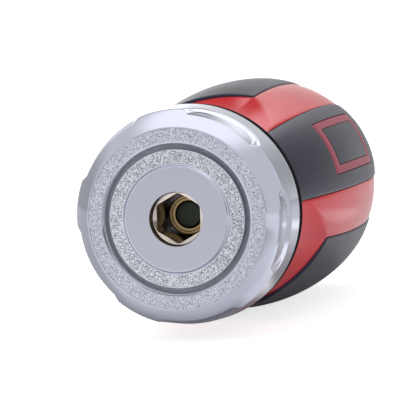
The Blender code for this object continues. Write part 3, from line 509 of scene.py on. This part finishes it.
where = add_node(scallop_tree, "GeometryNodeInputPosition").outputs[0]
axes = add_node(scallop_tree, "ShaderNodeSeparateXYZ", inputs={0: where}).outputs
sums = {socket.name: socket for socket in (*given, *axes) if socket.name}
for name, operation, *terms in (
        ("x square", "POWER", "X", 2.0),
        ("z square", "POWER", "Z", 2.0),
        ("square", "ADD", "x square", "z square"),
        ("radius", "SQRT", "square"),
        ("half pitch", "DIVIDE", math.pi, "Count"),
        ("half pitch back", "MULTIPLY", "half pitch", -1.0),
        ("angle", "ARCTAN2", "Z", "X"),
        ("turn", "SUBTRACT", "angle", "First Angle"),
        ("from middle", "WRAP", "turn", "half pitch", "half pitch back"),
        ("aside angle", "ABSOLUTE", "from middle"),
        ("aside", "MULTIPLY", "aside angle", "Floor Radius"),
        ("depth", "SUBTRACT", "Y", "Mouth"),
        ("corner aside", "SUBTRACT", "Half Width", "Corner"),
        ("corner back", "SUBTRACT", "Back", "Corner"),
        ("past side", "SUBTRACT", "aside", "corner aside"),
        ("past back", "SUBTRACT", "depth", "corner back"),
        ("side", "MAXIMUM", "past side", 0.0),
        ("back", "MAXIMUM", "past back", 0.0),
        ("side square", "POWER", "side", 2.0),
        ("back square", "POWER", "back", 2.0),
        ("corner square", "ADD", "side square", "back square"),
        ("from corner", "SQRT", "corner square"),
        ("past outline", "SUBTRACT", "from corner", "Corner"),
        ("outside", "MAXIMUM", "past outline", 0.0),
        ("climb", "MULTIPLY", "outside", "Wall Slope"),
        ("floor rise", "MULTIPLY", "depth", "Floor Slope"),
        ("floor", "ADD", "Floor Radius", "floor rise"),
        ("cutter", "ADD", "floor", "climb"),
        ("left over", "SMOOTH_MIN", "radius", "cutter", "Edge Softness"),
        ("shrink", "DIVIDE", "left over", "radius"),
        ("new x", "MULTIPLY", "X", "shrink"),
        ("new z", "MULTIPLY", "Z", "shrink")):
    inputs = {slot: sums.get(term, term) for slot, term in enumerate(terms)}
    step = add_node(scallop_tree, "ShaderNodeMath", {"operation": operation}, inputs)
    sums[name] = step.outputs[0]
pressed = add_node(scallop_tree, "ShaderNodeCombineXYZ", inputs={
    "X": sums["new x"], "Y": axes["Y"], "Z": sums["new z"]})
cut_ring = add_node(scallop_tree, "GeometryNodeSetPosition", inputs={
    "Geometry": given["Ring"], "Position": pressed.outputs[0]})
whole = add_node(scallop_tree, "GeometryNodeRealizeInstances", inputs={
    "Geometry": cut_ring.outputs[0]})
plated = add_node(scallop_tree, "GeometryNodeSetMaterial", inputs={
    "Geometry": whole.outputs[0], "Material": polished_chrome})
for label, start, stop, metal in ring_finishes:
    finished = add_node(
        scallop_tree, "GeometryNodeInputNamedAttribute", {"data_type": "BOOLEAN"}, {"Name": label})
    plated = add_node(scallop_tree, "GeometryNodeSetMaterial", inputs={
        "Geometry": plated.outputs[0], "Selection": finished.outputs[0], "Material": metal})
add_node(scallop_tree, "NodeGroupOutput", inputs={0: plated.outputs[0]})

ring = put("direction_ring_chromed", ring_mesh, ())
cutting = ring.modifiers.new("thumb scallops", "NODES")
cutting.node_group = scallop_tree
for identifier, value in scallop_inputs.values():
    if value is not None:
        cutting[identifier] = value
cut_mesh = bpy.data.meshes.new_from_object(
    ring.evaluated_get(bpy.context.evaluated_depsgraph_get()))
ring.modifiers.remove(cutting)
ring.data = cut_mesh
cut_mesh.name = "direction_ring_chromed"
for label, start, stop, metal in ring_finishes:
    cut_mesh.attributes.remove(cut_mesh.attributes[label])
cut_mesh.set_sharp_from_angle(angle=CRISP)
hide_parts("direction_ring")
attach(ring, "selector_ring")


# Neck collar: a moulded spacer of black nylon with round edges, pushed onto the ratchet's shank. It
# fills the gap between ring and handle, and its near black is partly painted shade, so that it
# shows as a thin black line where the gap lies in shadow.
COLLAR_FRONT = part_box("neck_collar")[0].y - MOUTH_Y
COLLAR_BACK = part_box("neck_collar")[1].y - MOUTH_Y
COLLAR_R = 16.25 * MM
COLLAR_EDGE = 0.45 * MM
COLLAR_COLUMNS = 240
SHANK_BORE_R = 9.6 * MM
MOTTLE = 6.0 * MM
# A painted tint for the reflections of moulded pieces, standing in for bluish light.
PAINTED_GLEAM_TINT = "#C6CEFF"


def moulded(name, colour, lighter, roughness, ior, grain, depth):
    """Moulded plastic or rubber: an even colour, faintly mottled, with a fine eroded grain.

    The mould's grain spreads the gleam. Its cool tint on every such piece is painted: it stands in
    for bluish light in the reflections.
    """
    material, tree, place = start_material(name)
    mottle = add_node(tree, "ShaderNodeTexNoise", inputs={
        "Vector": place, "Scale": 1.0 / MOTTLE, "Detail": 3.0})
    shade = add_node(tree, "ShaderNodeMix", {"data_type": "RGBA"}, {
        "Factor": mottle.outputs["Fac"], "A": linear(colour), "B": linear(lighter)})
    gloss = add_node(tree, "ShaderNodeMapRange", inputs={
        "Value": mottle.outputs["Fac"], "To Min": roughness * 0.85, "To Max": roughness * 1.15})
    pores = add_node(tree, "ShaderNodeTexNoise", inputs={
        "Vector": place, "Scale": 1.0 / grain, "Detail": 2.0})
    bump = add_node(tree, "ShaderNodeBump", inputs={
        "Strength": 0.5, "Distance": depth, "Height": pores.outputs["Fac"]})
    surface = add_node(tree, "ShaderNodeBsdfPrincipled", inputs={
        "Base Color": shade.outputs["Result"], "Roughness": gloss.outputs["Result"],
        "IOR": ior, "Specular Tint": linear(PAINTED_GLEAM_TINT), "Normal": bump.outputs["Normal"]})
    add_node(tree, "ShaderNodeOutputMaterial", inputs={"Surface": surface.outputs[0]})
    return material


# Matt black nylon in the ring's shade, its near black partly painted shade for the dark gap: its
# gleam is held low, so that it stays a black line.
nylon_black_and_painted_shade = moulded("black nylon, moulded, with painted shade", "#08080A", "#101114",
                      roughness=0.8, ior=1.12, grain=0.25 * MM, depth=0.004 * MM)
neck_collar = put("neck_collar_moulded", skin("neck_collar_moulded", turned(rounded([
    (SHANK_BORE_R, COLLAR_FRONT, 0.0),
    (COLLAR_R, COLLAR_FRONT, COLLAR_EDGE),
    (COLLAR_R, COLLAR_BACK, COLLAR_EDGE),
    (SHANK_BORE_R, COLLAR_BACK, 0.0),
], steps=5), even(COLLAR_COLUMNS))), (nylon_black_and_painted_shade,))
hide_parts("neck_collar")
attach(neck_collar, "handle")


# Handle core: one red polypropylene moulding with a flared neck, a blunt dome and four beds
# for the soft grips. Between the grips it shows as four stripes, a little below their skin.
HANDLE_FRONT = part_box("handle_core")[0].y - MOUTH_Y
HANDLE_END = 88.0 * MM
CORE_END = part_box("handle_core")[1].y - MOUTH_Y
BULB_R = 18.6 * MM
BULB_DEPTH = 53.0 * MM
NECK_R = 13.95 * MM
DOME_POWER = 2.6
STRIPE_DROP = 0.4 * MM
NECK_SLOPE = 0.28
NECK_WAIST = 22.0 * MM
CREASE_NEAR = 22.0 * MM
CREASE_SOFT = 0.9 * MM
BORE_CLEARANCE = 0.3 * MM
BORE_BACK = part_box("ratchet_body")[1].y - MOUTH_Y + BORE_CLEARANCE
GRIP_ANGLE = 27.0
GRIP_REAR = 78.0 * MM
LONG_HALF = 23.0
LONG_FOOT = 16.0
LONG_FOOT_LENGTH = 10.0 * MM
LONG_FOOT_POWER = 4
SIDE_HALF = 42.5
SIDE_FRONT = 26.9 * MM
SIDE_SWEEP = 5.3 * MM
SIDE_POWER = 2.2
BED_DEPTH = 2.1 * MM
GRIP_GAP = 0.08 * MM
WALL_DRAFT = 0.03 * MM
LIP = 0.16 * MM


def skin_radius(depth):
    """Radius of the grips' skin: it swells from neck to bulb and closes in a blunt dome."""
    if depth < BULB_DEPTH:
        share = (BULB_DEPTH - depth) / (BULB_DEPTH - HANDLE_FRONT)
        return BULB_R - (BULB_R - NECK_R) * share ** 2
    share = min((depth - BULB_DEPTH) / (HANDLE_END - BULB_DEPTH), 1.0)
    return BULB_R * (1.0 - share ** DOME_POWER) ** (1.0 / DOME_POWER)


def long_half(depth):
    """Half width of a long grip in degrees, with a foot that spreads to the collar."""
    foot = max(HANDLE_FRONT + LONG_FOOT_LENGTH - depth, 0.0) / LONG_FOOT_LENGTH
    return LONG_HALF + LONG_FOOT * foot ** LONG_FOOT_POWER


def side_front(sideways):
    """Front edge of a side grip: foremost in its middle, swept back to its corners."""
    return SIDE_FRONT + SIDE_SWEEP * min(abs(sideways), 1.0) ** SIDE_POWER


def from_long(angle):
    """Degrees from the middle of the nearest long grip."""
    return abs((angle - GRIP_ANGLE + 90.0) % 180.0 - 90.0)


def crease_depth(angle):
    """The neck ends at a crease, from a long grip's edge to a side grip's front."""
    away = from_long(angle)
    corner = 90.0 - SIDE_HALF
    if away >= corner:
        return side_front((90.0 - away) / SIDE_HALF)
    share = max(away - LONG_HALF, 0.0) / (corner - LONG_HALF)
    return CREASE_NEAR + share * (side_front(1.0) - CREASE_NEAR)


def creased_radius(angle, depth):
    """Radius of the core with a sharp crease."""
    ahead = crease_depth(angle) - depth
    if ahead <= 0.0:
        return skin_radius(depth) - STRIPE_DROP
    fall = NECK_SLOPE * ahead * (1.0 - ahead / (2.0 * NECK_WAIST))
    return skin_radius(crease_depth(angle)) - STRIPE_DROP - fall


def past_bed(angle, depth):
    """Distance past the edge of the nearest grip bed, along the core's surface."""
    away = from_long(angle)
    arc = math.radians(1.0) * skin_radius(depth)
    rear = depth - GRIP_REAR - GRIP_GAP
    from_beds = []
    for side, front in (
            ((away - long_half(depth)) * arc, -LIP),
            ((90.0 - away - SIDE_HALF) * arc, side_front((90.0 - away) / SIDE_HALF) - depth)):
        across = max(side - GRIP_GAP, 0.0)
        along = max(rear, front - GRIP_GAP, 0.0)
        from_beds.append(math.hypot(across, along))
    return min(from_beds)


def red_radius(angle, depth):
    """Radius of the red surface, its crease softened and its lips along the beds rounded."""
    near = [creased_radius(angle, depth + step * CREASE_SOFT) for step in (-1.0, 0.0, 1.0)]
    short = max(LIP - past_bed(angle, depth), 0.0)
    drop = LIP - math.sqrt(LIP ** 2 - short ** 2)
    return (near[0] + 2.0 * near[1] + near[2]) / 4.0 - drop


def spread(start, end, count):
    """Evenly spaced values, both ends included."""
    return [start + (end - start) * step / count for step in range(count + 1)]


LIP_STATIONS = (0.0, 0.03 * MM, 0.07 * MM, LIP)
LONG_STEPS = 8
STRIPE_STEPS = 14
SIDE_STEPS = 30
NECK_STEPS = 26
BED_STEPS = 60
DOME_STEPS = 24
DOME_LAST = math.radians(89.0)
POLE_R = 0.2 * MM

# Columns run round the core and loops along it. Both follow the edges of the grips' beds.
core_columns = []
for half_turn in (0.0, 180.0):
    for mirror in (1.0, -1.0):
        edge = math.degrees(GRIP_GAP / BULB_R)
        draft = math.degrees(WALL_DRAFT / BULB_R)
        lips = [math.degrees(station / BULB_R) for station in LIP_STATIONS]
        corner = 90.0 - SIDE_HALF - edge
        columns = [("long", lambda d, s=s: s * (long_half(d) + edge - draft))
                   for s in spread(0.0, 1.0, LONG_STEPS)]
        for s in lips[:-1] + spread(lips[-1], corner - LONG_HALF - edge - lips[-1], STRIPE_STEPS):
            share = s / (corner - LONG_HALF - edge)
            columns.append(("stripe", lambda d, t=share: (
                (long_half(d) + edge) * (1.0 - t) + corner * t)))
        columns += [("stripe", lambda d, s=s: corner - s) for s in reversed(lips[:-1])]
        columns += [("side", lambda d, s=s: s) for s in spread(corner + draft, 90.0, SIDE_STEPS)]
        middle = GRIP_ANGLE + half_turn + (0.0 if mirror > 0.0 else 180.0)
        quarter = [(kind, lambda d, f=f, c=middle, m=mirror: c + m * f(d)) for kind, f in columns]
        core_columns += quarter[:-1] if mirror > 0.0 else quarter[:0:-1]

core_loops = []
for share in spread(0.0, 1.0, NECK_STEPS):
    core_loops.append(("front", lambda c, t=share: (
        HANDLE_FRONT + t * (c - GRIP_GAP - LIP - HANDLE_FRONT))))
core_loops += [("front", lambda c, s=s: c - GRIP_GAP - s) for s in reversed(LIP_STATIONS[:-1])]
for share in spread(0.0, 1.0, BED_STEPS):
    core_loops.append(("bed", lambda c, t=share: (
        (c - GRIP_GAP + WALL_DRAFT) * (1.0 - t) + (GRIP_REAR + GRIP_GAP - WALL_DRAFT) * t)))
core_loops += [("rear", lambda c, s=s: GRIP_REAR + GRIP_GAP + s) for s in LIP_STATIONS]
DOME_START = GRIP_REAR + GRIP_GAP + LIP
dome_turn = math.asin((DOME_START - BULB_DEPTH) / (HANDLE_END - BULB_DEPTH))
for turn in spread(dome_turn, DOME_LAST, DOME_STEPS)[1:]:
    core_loops.append(("rear", lambda c, t=turn: (
        BULB_DEPTH + (HANDLE_END - BULB_DEPTH) * math.sin(t))))

core_points = [
    [at(SHANK_BORE_R, column_angle(HANDLE_FRONT), depth) for kind, column_angle in core_columns]
    for depth in (BORE_BACK, HANDLE_FRONT)]
for part, loop_depth in core_loops:
    points = []
    for kind, column_angle in core_columns:
        depth = min(loop_depth(crease_depth(column_angle(BULB_DEPTH))), CORE_END)
        angle = column_angle(depth)
        bedded = part != "rear" and kind == "long" or part == "bed" and kind == "side"
        radius = skin_radius(depth) - BED_DEPTH if bedded else red_radius(angle, depth)
        points.append(at(max(radius, POLE_R), angle, depth))
    core_points.append(points)

# Polypropylene from a smooth mould: a strong red with a soft, clear gleam.
red_plastic = moulded("red polypropylene, moulded", "#C41E22", "#CE2528",
                      roughness=0.17, ior=1.42, grain=0.35 * MM, depth=0.005 * MM)
core_mesh = skin("handle_core_moulded", core_points, False)
handle_core = put("handle_core_moulded", core_mesh, (red_plastic,))
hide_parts("handle_core")
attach(handle_core, "handle")


# Soft grips: four pads of grey thermoplastic rubber, moulded over the core into its beds. They
# are a little crowned, with eased edges, and the upper one has a groove for a plain frame.
GRIP_THICKNESS = 1.8 * MM
GRIP_CROWN = 0.25 * MM
CROWN_POWER = 4
GRIP_EASE = 0.28 * MM
BADGE_FRONT = 35.0 * MM
BADGE_REAR = 62.0 * MM
BADGE_HALF = 14.5
BADGE_LINE = 1.4 * MM
BADGE_END_LINE = 2.8 * MM
BADGE_INLAY = 0.5 * MM
BADGE_SEAM = 0.05 * MM
SEAM_REACH = 1.01
EASE_STATIONS = (0.0, 0.012 * MM, 0.05 * MM, 0.11 * MM, 0.19 * MM, GRIP_EASE)
LONG_ALONG_STEPS = 70
LONG_ACROSS_STEPS = 36
SIDE_ALONG_STEPS = 60
SIDE_ACROSS_STEPS = 64
FIELD_ACROSS_STEPS = 20
FIELD_ALONG_STEPS = 26
BESIDE_FRAME_STEPS = 8
AHEAD_OF_FRAME_STEPS = 30
BEHIND_FRAME_STEPS = 20


def with_ends(stations, start, end, count):
    """Stations from start to end, close together at both ends."""
    inner = spread(start + stations[-1], end - stations[-1], count)
    return [start + s for s in stations[:-1]] + inner + [end - s for s in reversed(stations[:-1])]


def grip_skin(angle_share, half, depth, front):
    """Radius of a grip's outer face, crowned, with its edges eased."""
    radius = skin_radius(depth)
    to_side = (1.0 - abs(angle_share)) * math.radians(half) * radius
    to_end = min(depth - front, GRIP_REAR - depth)
    short = math.hypot(max(GRIP_EASE - to_side, 0.0), max(GRIP_EASE - to_end, 0.0))
    drop = GRIP_EASE - math.sqrt(max(GRIP_EASE ** 2 - short ** 2, 0.0))
    return radius - GRIP_CROWN * angle_share ** CROWN_POWER - drop


def pad(name, centre, half_width, front_edge, across, along, sunk):
    """A closed pad over stations across it, as shares, and along it, as shares of its length."""
    form = bmesh.new()
    layers = []
    for outer in (True, False):
        rows = []
        for s in across:
            front = front_edge(s)
            row = []
            for t in along:
                depth = front + (GRIP_REAR - front) * t
                half = half_width(depth)
                radius = skin_radius(depth) - GRIP_THICKNESS
                if outer:
                    radius = grip_skin(s, half, depth, front) - sunk(s * half, depth)
                row.append(form.verts.new(at(radius, centre + s * half, depth)))
            rows.append(row)
        layers.append(rows)
        for left, right in zip(rows, rows[1:]):
            for j in range(len(along) - 1):
                form.faces.new((left[j], right[j], right[j + 1], left[j + 1]))
    last_s, last_t = len(across) - 1, len(along) - 1
    rim = [(i, 0) for i in range(last_s)] + [(last_s, j) for j in range(last_t)]
    rim += [(i, last_t) for i in range(last_s, 0, -1)] + [(0, j) for j in range(last_t, 0, -1)]
    top, under = layers
    for (i, j), (k, m) in zip(rim, rim[1:] + rim[:1]):
        form.faces.new((top[i][j], top[k][m], under[k][m], under[i][j]))
    bmesh.ops.recalc_face_normals(form, faces=form.faces)
    mesh = bpy.data.meshes.new(name)
    form.to_mesh(mesh)
    form.free()
    return mesh


def badge_share(inset):
    """Share of the long grip's half width at a distance in from the frame's outer edge."""
    return (BADGE_HALF - math.degrees(inset / BULB_R)) / LONG_HALF


def not_sunk(turn, depth):
    """A grip without a groove."""
    return 0.0


def badge_sunk(turn, depth):
    """Depth of the frame's groove at an angle from the grip's middle, its seams included."""
    aside = math.radians(BADGE_HALF - abs(turn)) * BULB_R
    along = min(depth - BADGE_FRONT, BADGE_REAR - depth)
    reach = SEAM_REACH * BADGE_SEAM
    in_field = aside > BADGE_LINE + reach and along > BADGE_END_LINE + reach
    return 0.0 if in_field or min(aside, along) < -reach else BADGE_INLAY


# Rubber from an eroded mould: dark grey, with a broad dull gleam. The grain is about 0.1 mm and
# is drawn twice as coarse, so that it shows.
RUBBER_GRAIN = 0.22 * MM
RUBBER_GRAIN_DEPTH = 0.010 * MM
grip_rubber = moulded("thermoplastic rubber, eroded", "#20202B", "#282833",
                      roughness=0.32, ior=1.40, grain=RUBBER_GRAIN, depth=RUBBER_GRAIN_DEPTH)
long_length = GRIP_REAR - HANDLE_FRONT
side_length = GRIP_REAR - side_front(1.0)
long_ease = [math.degrees(s / BULB_R) / LONG_HALF for s in EASE_STATIONS]
side_ease = [math.degrees(s / BULB_R) / SIDE_HALF for s in EASE_STATIONS]
long_along = with_ends([s / long_length for s in EASE_STATIONS], 0.0, 1.0, LONG_ALONG_STEPS)
side_along = with_ends([s / side_length for s in EASE_STATIONS], 0.0, 1.0, SIDE_ALONG_STEPS)
side_across = with_ends(side_ease, -1.0, 1.0, SIDE_ACROSS_STEPS)
plain_across = with_ends(long_ease, -1.0, 1.0, LONG_ACROSS_STEPS)

# The upper grip's stations follow the frame's groove, each wall of which is one narrow step.
groove, end_groove = [
    [-BADGE_SEAM - WALL_DRAFT, -BADGE_SEAM, line + BADGE_SEAM, line + BADGE_SEAM + WALL_DRAFT]
    for line in (BADGE_LINE, BADGE_END_LINE)]
half_across = [badge_share(inset) for inset in groove]
beside = spread(half_across[0], 1.0 - long_ease[-1], BESIDE_FRAME_STEPS)[1:-1]
framed_across = sorted(
    [-1.0 + s for s in long_ease] + [1.0 - s for s in long_ease]
    + half_across + [-s for s in half_across]
    + spread(-half_across[3], half_across[3], FIELD_ACROSS_STEPS)[1:-1]
    + beside + [-s for s in beside])
fronts = [(BADGE_FRONT + inset - HANDLE_FRONT) / long_length for inset in end_groove]
rears = [(BADGE_REAR - inset - HANDLE_FRONT) / long_length for inset in end_groove]
ends = [s / long_length for s in EASE_STATIONS]
framed_along = sorted(
    ends + [1.0 - s for s in ends] + fronts + rears
    + spread(ends[-1], fronts[0], AHEAD_OF_FRAME_STEPS)[1:-1]
    + spread(fronts[3], rears[3], FIELD_ALONG_STEPS)[1:-1]
    + spread(rears[0], 1.0 - ends[-1], BEHIND_FRAME_STEPS)[1:-1])


def long_front(sideways):
    """Front edge of a long grip, which is straight."""
    return HANDLE_FRONT


def side_half(depth):
    """Half width of a side grip in degrees, the same all along."""
    return SIDE_HALF


for node, turn, half, front, across, along, sunk in (
        ("grip_upper", 0.0, long_half, long_front, framed_across, framed_along, badge_sunk),
        ("grip_left", 90.0, side_half, side_front, side_across, side_along, not_sunk),
        ("grip_lower", 180.0, long_half, long_front, plain_across, long_along, not_sunk),
        ("grip_right", 270.0, side_half, side_front, side_across, side_along, not_sunk)):
    mesh = pad(node + "_soft", GRIP_ANGLE + turn, half, front, across, along, sunk)
    grip = put(node + "_soft", mesh, (grip_rubber,))
    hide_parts(node)
    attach(grip, "handle")


# Badge frame: a plain line of red rubber, moulded into the groove of the upper grip and level
# with its skin. Its edges are rounded, and the field inside it is bare grip.
FRAME_ROUND = 0.12 * MM
FRAME_SECTION = (
    (0.0, BADGE_INLAY), (0.0, FRAME_ROUND), (FRAME_ROUND, 0.0),
    (BADGE_LINE - FRAME_ROUND, 0.0), (BADGE_LINE, FRAME_ROUND), (BADGE_LINE, BADGE_INLAY))
FRAME_END_STEPS = 20
FRAME_SIDE_STEPS = 40


def frame_loop(inset, sink):
    """A rectangle on the grip's skin, inset from the frame's edge and sunk below the skin."""
    points = []
    spread_half = BADGE_HALF - math.degrees(inset / BULB_R)
    along = inset * BADGE_END_LINE / BADGE_LINE
    fore, aft = BADGE_FRONT + along, BADGE_REAR - along
    sides = [(s, fore) for s in spread(-1.0, 1.0, FRAME_END_STEPS)[:-1]]
    sides += [(1.0, d) for d in spread(fore, aft, FRAME_SIDE_STEPS)[:-1]]
    sides += [(s, aft) for s in spread(1.0, -1.0, FRAME_END_STEPS)[:-1]]
    sides += [(-1.0, d) for d in spread(aft, fore, FRAME_SIDE_STEPS)[:-1]]
    for s, depth in sides:
        share = s * spread_half / LONG_HALF
        radius = grip_skin(share, LONG_HALF, depth, HANDLE_FRONT) - sink
        points.append(at(radius, GRIP_ANGLE + s * spread_half, depth))
    return points


# The red rubber is duller than the core, with the grain of the grip round it.
red_rubber = moulded("red rubber, moulded", "#8C323D", "#983C47",
                     roughness=0.40, ior=1.45, grain=RUBBER_GRAIN, depth=RUBBER_GRAIN_DEPTH)
badge_frame = put("badge_frame_moulded", skin("badge_frame_moulded", [
    frame_loop(inset, sink) for inset, sink in FRAME_SECTION]), (red_rubber,))
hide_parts("badge_frame")
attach(badge_frame, "handle")


# Studio: a floor of white paper that the tool lies on, a tent of white light, and three soft
# lamps above and beside it. The lamps don't show in the chrome, which mirrors tent and paper.
FLOOR_HALF = 3.0
FLOOR_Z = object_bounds()[0].z
floor_mesh = bpy.data.meshes.new("floor")
floor_mesh.from_pydata(
    [(x * FLOOR_HALF, y * FLOOR_HALF, FLOOR_Z) for x, y in ((-1, -1), (1, -1), (1, 1), (-1, 1))],
    [], [(0, 1, 2, 3)])
floor = bpy.data.objects.new("floor", floor_mesh)
bpy.context.scene.collection.objects.link(floor)

# White paper, which the camera sees lifted to white. Shiny pieces alone see painted light on it: a
# painted glow in front of the mouth and on two painted cards beside the tool, and painted shade
# under the tool and in four spots. From below it is clear. Each of the cards has its middle, its
# half sizes and its strength, and a spot has its middle and two radii.
CAMERA_LIFT = 0.72
MIRRORED = 0.5
LIT_FRONT = (-0.002, -0.007)
PAINTED_CARDS = (
    ((0.030, 0.008, FLOOR_Z), (0.016, 0.013, 1.0), 0.7),
    ((0.058, 0.118, FLOOR_Z), (0.018, 0.020, 1.0), 0.5))
PAINTED_CARD_FADE = 0.006
PAINTED_SHADE_SPOTS = (
    ((0.014, -0.019, FLOOR_Z), 0.004, 0.010), ((0.030, -0.031, FLOOR_Z), 0.010, 0.022),
    ((0.055, -0.065, FLOOR_Z), 0.040, 0.060), ((0.155, -0.175, FLOOR_Z), 0.080, 0.120))
paper, tree, place = start_material("white paper")
ray = add_node(tree, "ShaderNodeLightPath")
axes = add_node(tree, "ShaderNodeSeparateXYZ", inputs={0: place}).outputs
# Painted glow in front of the mouth, fading to painted shade under the tool.
front = add_node(tree, "ShaderNodeMapRange", inputs={
    "Value": axes["Y"], "From Min": LIT_FRONT[0], "From Max": LIT_FRONT[1], "To Max": MIRRORED})
glow = front.outputs["Result"]
# Painted cards: glowing patches that only shiny pieces see, where no cards lie.
for middle, half, bright in PAINTED_CARDS:
    from_painted_card = add_node(tree, "ShaderNodeVectorMath", {"operation": "SUBTRACT"}, {
        0: place, 1: middle})
    aside = add_node(tree, "ShaderNodeVectorMath", {"operation": "ABSOLUTE"}, {
        0: from_painted_card.outputs[0]})
    past = add_node(tree, "ShaderNodeVectorMath", {"operation": "SUBTRACT"}, {
        0: aside.outputs[0], 1: half})
    sides = add_node(tree, "ShaderNodeSeparateXYZ", inputs={0: past.outputs[0]}).outputs
    past_painted_card = add_node(tree, "ShaderNodeMath", {"operation": "MAXIMUM"}, {
        0: sides["X"], 1: sides["Y"]})
    painted_card = add_node(tree, "ShaderNodeMapRange", inputs={
        "Value": past_painted_card.outputs[0], "From Max": PAINTED_CARD_FADE, "To Min": bright, "To Max": 0.0})
    glow = add_node(tree, "ShaderNodeMath", {"operation": "MAXIMUM"}, {
        0: glow, 1: painted_card.outputs["Result"]}).outputs[0]
# Painted shade: each spot dims the glow where the tool's shade would fall.
for middle, inner, outer in PAINTED_SHADE_SPOTS:
    away = add_node(tree, "ShaderNodeVectorMath", {"operation": "DISTANCE"}, {0: place, 1: middle})
    level = add_node(tree, "ShaderNodeMapRange", {"interpolation_type": "SMOOTHSTEP"}, {
        "Value": away.outputs["Value"], "From Min": inner, "From Max": outer, "To Max": 1.0})
    glow = add_node(tree, "ShaderNodeMath", {"operation": "MULTIPLY"}, {
        0: glow, 1: level.outputs["Result"]}).outputs[0]
mirrored = add_node(tree, "ShaderNodeMath", {"operation": "MULTIPLY"}, {
    0: ray.outputs["Is Glossy Ray"], 1: glow})
strength = add_node(tree, "ShaderNodeMath", {"operation": "MULTIPLY_ADD"}, {
    0: ray.outputs["Is Camera Ray"], 1: CAMERA_LIFT, 2: mirrored.outputs[0]})
lift = add_node(tree, "ShaderNodeEmission", inputs={
    "Color": linear("#FFFFFF"), "Strength": strength.outputs[0]})
diffuse = add_node(tree, "ShaderNodeBsdfDiffuse", inputs={"Color": linear("#D2D2D2")})
seen = add_node(tree, "ShaderNodeAddShader", inputs={0: diffuse.outputs[0], 1: lift.outputs[0]})
under_side = add_node(tree, "ShaderNodeNewGeometry")
clear = add_node(tree, "ShaderNodeBsdfTransparent")
surface = add_node(tree, "ShaderNodeMixShader", inputs={
    0: under_side.outputs["Backfacing"], 1: seen.outputs[0], 2: clear.outputs[0]})
add_node(tree, "ShaderNodeOutputMaterial", inputs={"Surface": surface.outputs[0]})
floor_mesh.materials.append(paper)

world = bpy.data.worlds.new("light tent")
world.use_nodes = True
tree = world.node_tree
tree.nodes.clear()
ray = add_node(tree, "ShaderNodeLightPath")
toward = add_node(tree, "ShaderNodeTexCoord").outputs["Generated"]
tent_level = 1.0

# What shiny surfaces see of the tent is painted: dark patches and glowing patches, which light
# nothing and show only in reflections. Each has its direction, the angles at which it is full and
# at which it ends, and its gain.
for middle, inner, outer, gain in (
        ((0.68, -0.73, 0.00), 8.0, 30.0, -0.75),
        ((-0.20, -0.74, 0.64), 6.0, 26.0, -0.50),
        ((-0.28, 0.72, 0.63), 8.0, 25.0, -0.90),
        ((0.48, 0.84, 0.25), 6.0, 22.0, -0.68),
        ((-0.93, 0.36, 0.00), 10.0, 36.0, -0.40),
        ((0.00, 0.00, 1.00), 22.0, 46.0, 0.80),
        ((0.12, 0.80, 0.59), 3.0, 12.0, 1.00),
        ((0.02, 0.98, 0.18), 4.0, 15.0, -0.40),
        ((-0.42, 0.90, 0.08), 5.0, 16.0, 0.60),
        ((-0.25, -0.96, 0.05), 15.0, 40.0, 0.22)):
    facing = add_node(tree, "ShaderNodeVectorMath", {"operation": "DOT_PRODUCT"}, {
        0: toward, 1: middle})
    patch = add_node(tree, "ShaderNodeMapRange", {"interpolation_type": "SMOOTHSTEP"}, {
        "Value": facing.outputs["Value"], "From Min": math.cos(math.radians(outer)),
        "From Max": math.cos(math.radians(inner)), "To Max": gain})
    tent_level = add_node(tree, "ShaderNodeMath", {"operation": "ADD"}, {
        0: tent_level, 1: patch.outputs["Result"]}).outputs[0]
TENT_FILL = 0.66
white = add_node(tree, "ShaderNodeBackground", inputs={
    "Color": linear("#FFFFFF"), "Strength": 1.0})
mirror = add_node(tree, "ShaderNodeBackground", inputs={
    "Color": linear("#FFFFFF"), "Strength": tent_level})
fill = add_node(tree, "ShaderNodeBackground", inputs={
    "Color": linear("#FBFCFF"), "Strength": TENT_FILL})
inside = add_node(tree, "ShaderNodeMixShader", inputs={
    0: ray.outputs["Is Glossy Ray"], 1: fill.outputs[0], 2: mirror.outputs[0]})
tent = add_node(tree, "ShaderNodeMixShader", inputs={
    0: ray.outputs["Is Camera Ray"], 1: inside.outputs[0], 2: white.outputs[0]})
add_node(tree, "ShaderNodeOutputWorld", inputs={"Surface": tent.outputs[0]})
bpy.context.scene.world = world

for label, place, aim, size, power in (
        ("overhead strip", (-0.04, 0.03, 0.60), (-0.04, 0.0, 0.0), (1.0, 0.36), 0.80),
        ("key", (-0.50, 0.55, 0.80), (0.0, 0.03, 0.0), (0.9, 0.9), 6.0),
        ("side fill", (0.55, -0.12, 0.06), (0.0, 0.03, 0.0), (0.5, 0.5), 1.4)):
    lamp = bpy.data.lights.new(label, "AREA")
    lamp.shape = "RECTANGLE"
    lamp.size, lamp.size_y = size
    lamp.energy = power
    softbox = bpy.data.objects.new(label, lamp)
    bpy.context.scene.collection.objects.link(softbox)
    softbox.location = place
    softbox.rotation_euler = (Vector(aim) - Vector(place)).to_track_quat("-Z", "Y").to_euler()
    softbox.visible_glossy = False

# The camera stands where the photograph was taken from, right of the mouth and a little above.
CAMERA_PLACE = (0.08362, -0.32221, 0.02962)
CAMERA_RIGHT = (0.96943, 0.24448, -0.02084)
CAMERA_UP = (0.0, 0.08494, 0.99639)
CAMERA_BACK = (0.24537, -0.96593, 0.08234)
camera = bpy.data.objects.new("camera", bpy.data.cameras.new("camera"))
camera.data.sensor_width = 36.0
camera.data.lens = 203.3
camera.data.clip_start = 0.01
camera.matrix_world = Matrix.Translation(CAMERA_PLACE) @ Matrix(
    (CAMERA_RIGHT, CAMERA_UP, CAMERA_BACK)).transposed().to_4x4()
bpy.context.scene.collection.objects.link(camera)
bpy.context.scene.camera = camera
bpy.context.scene.view_settings.view_transform = "Standard"
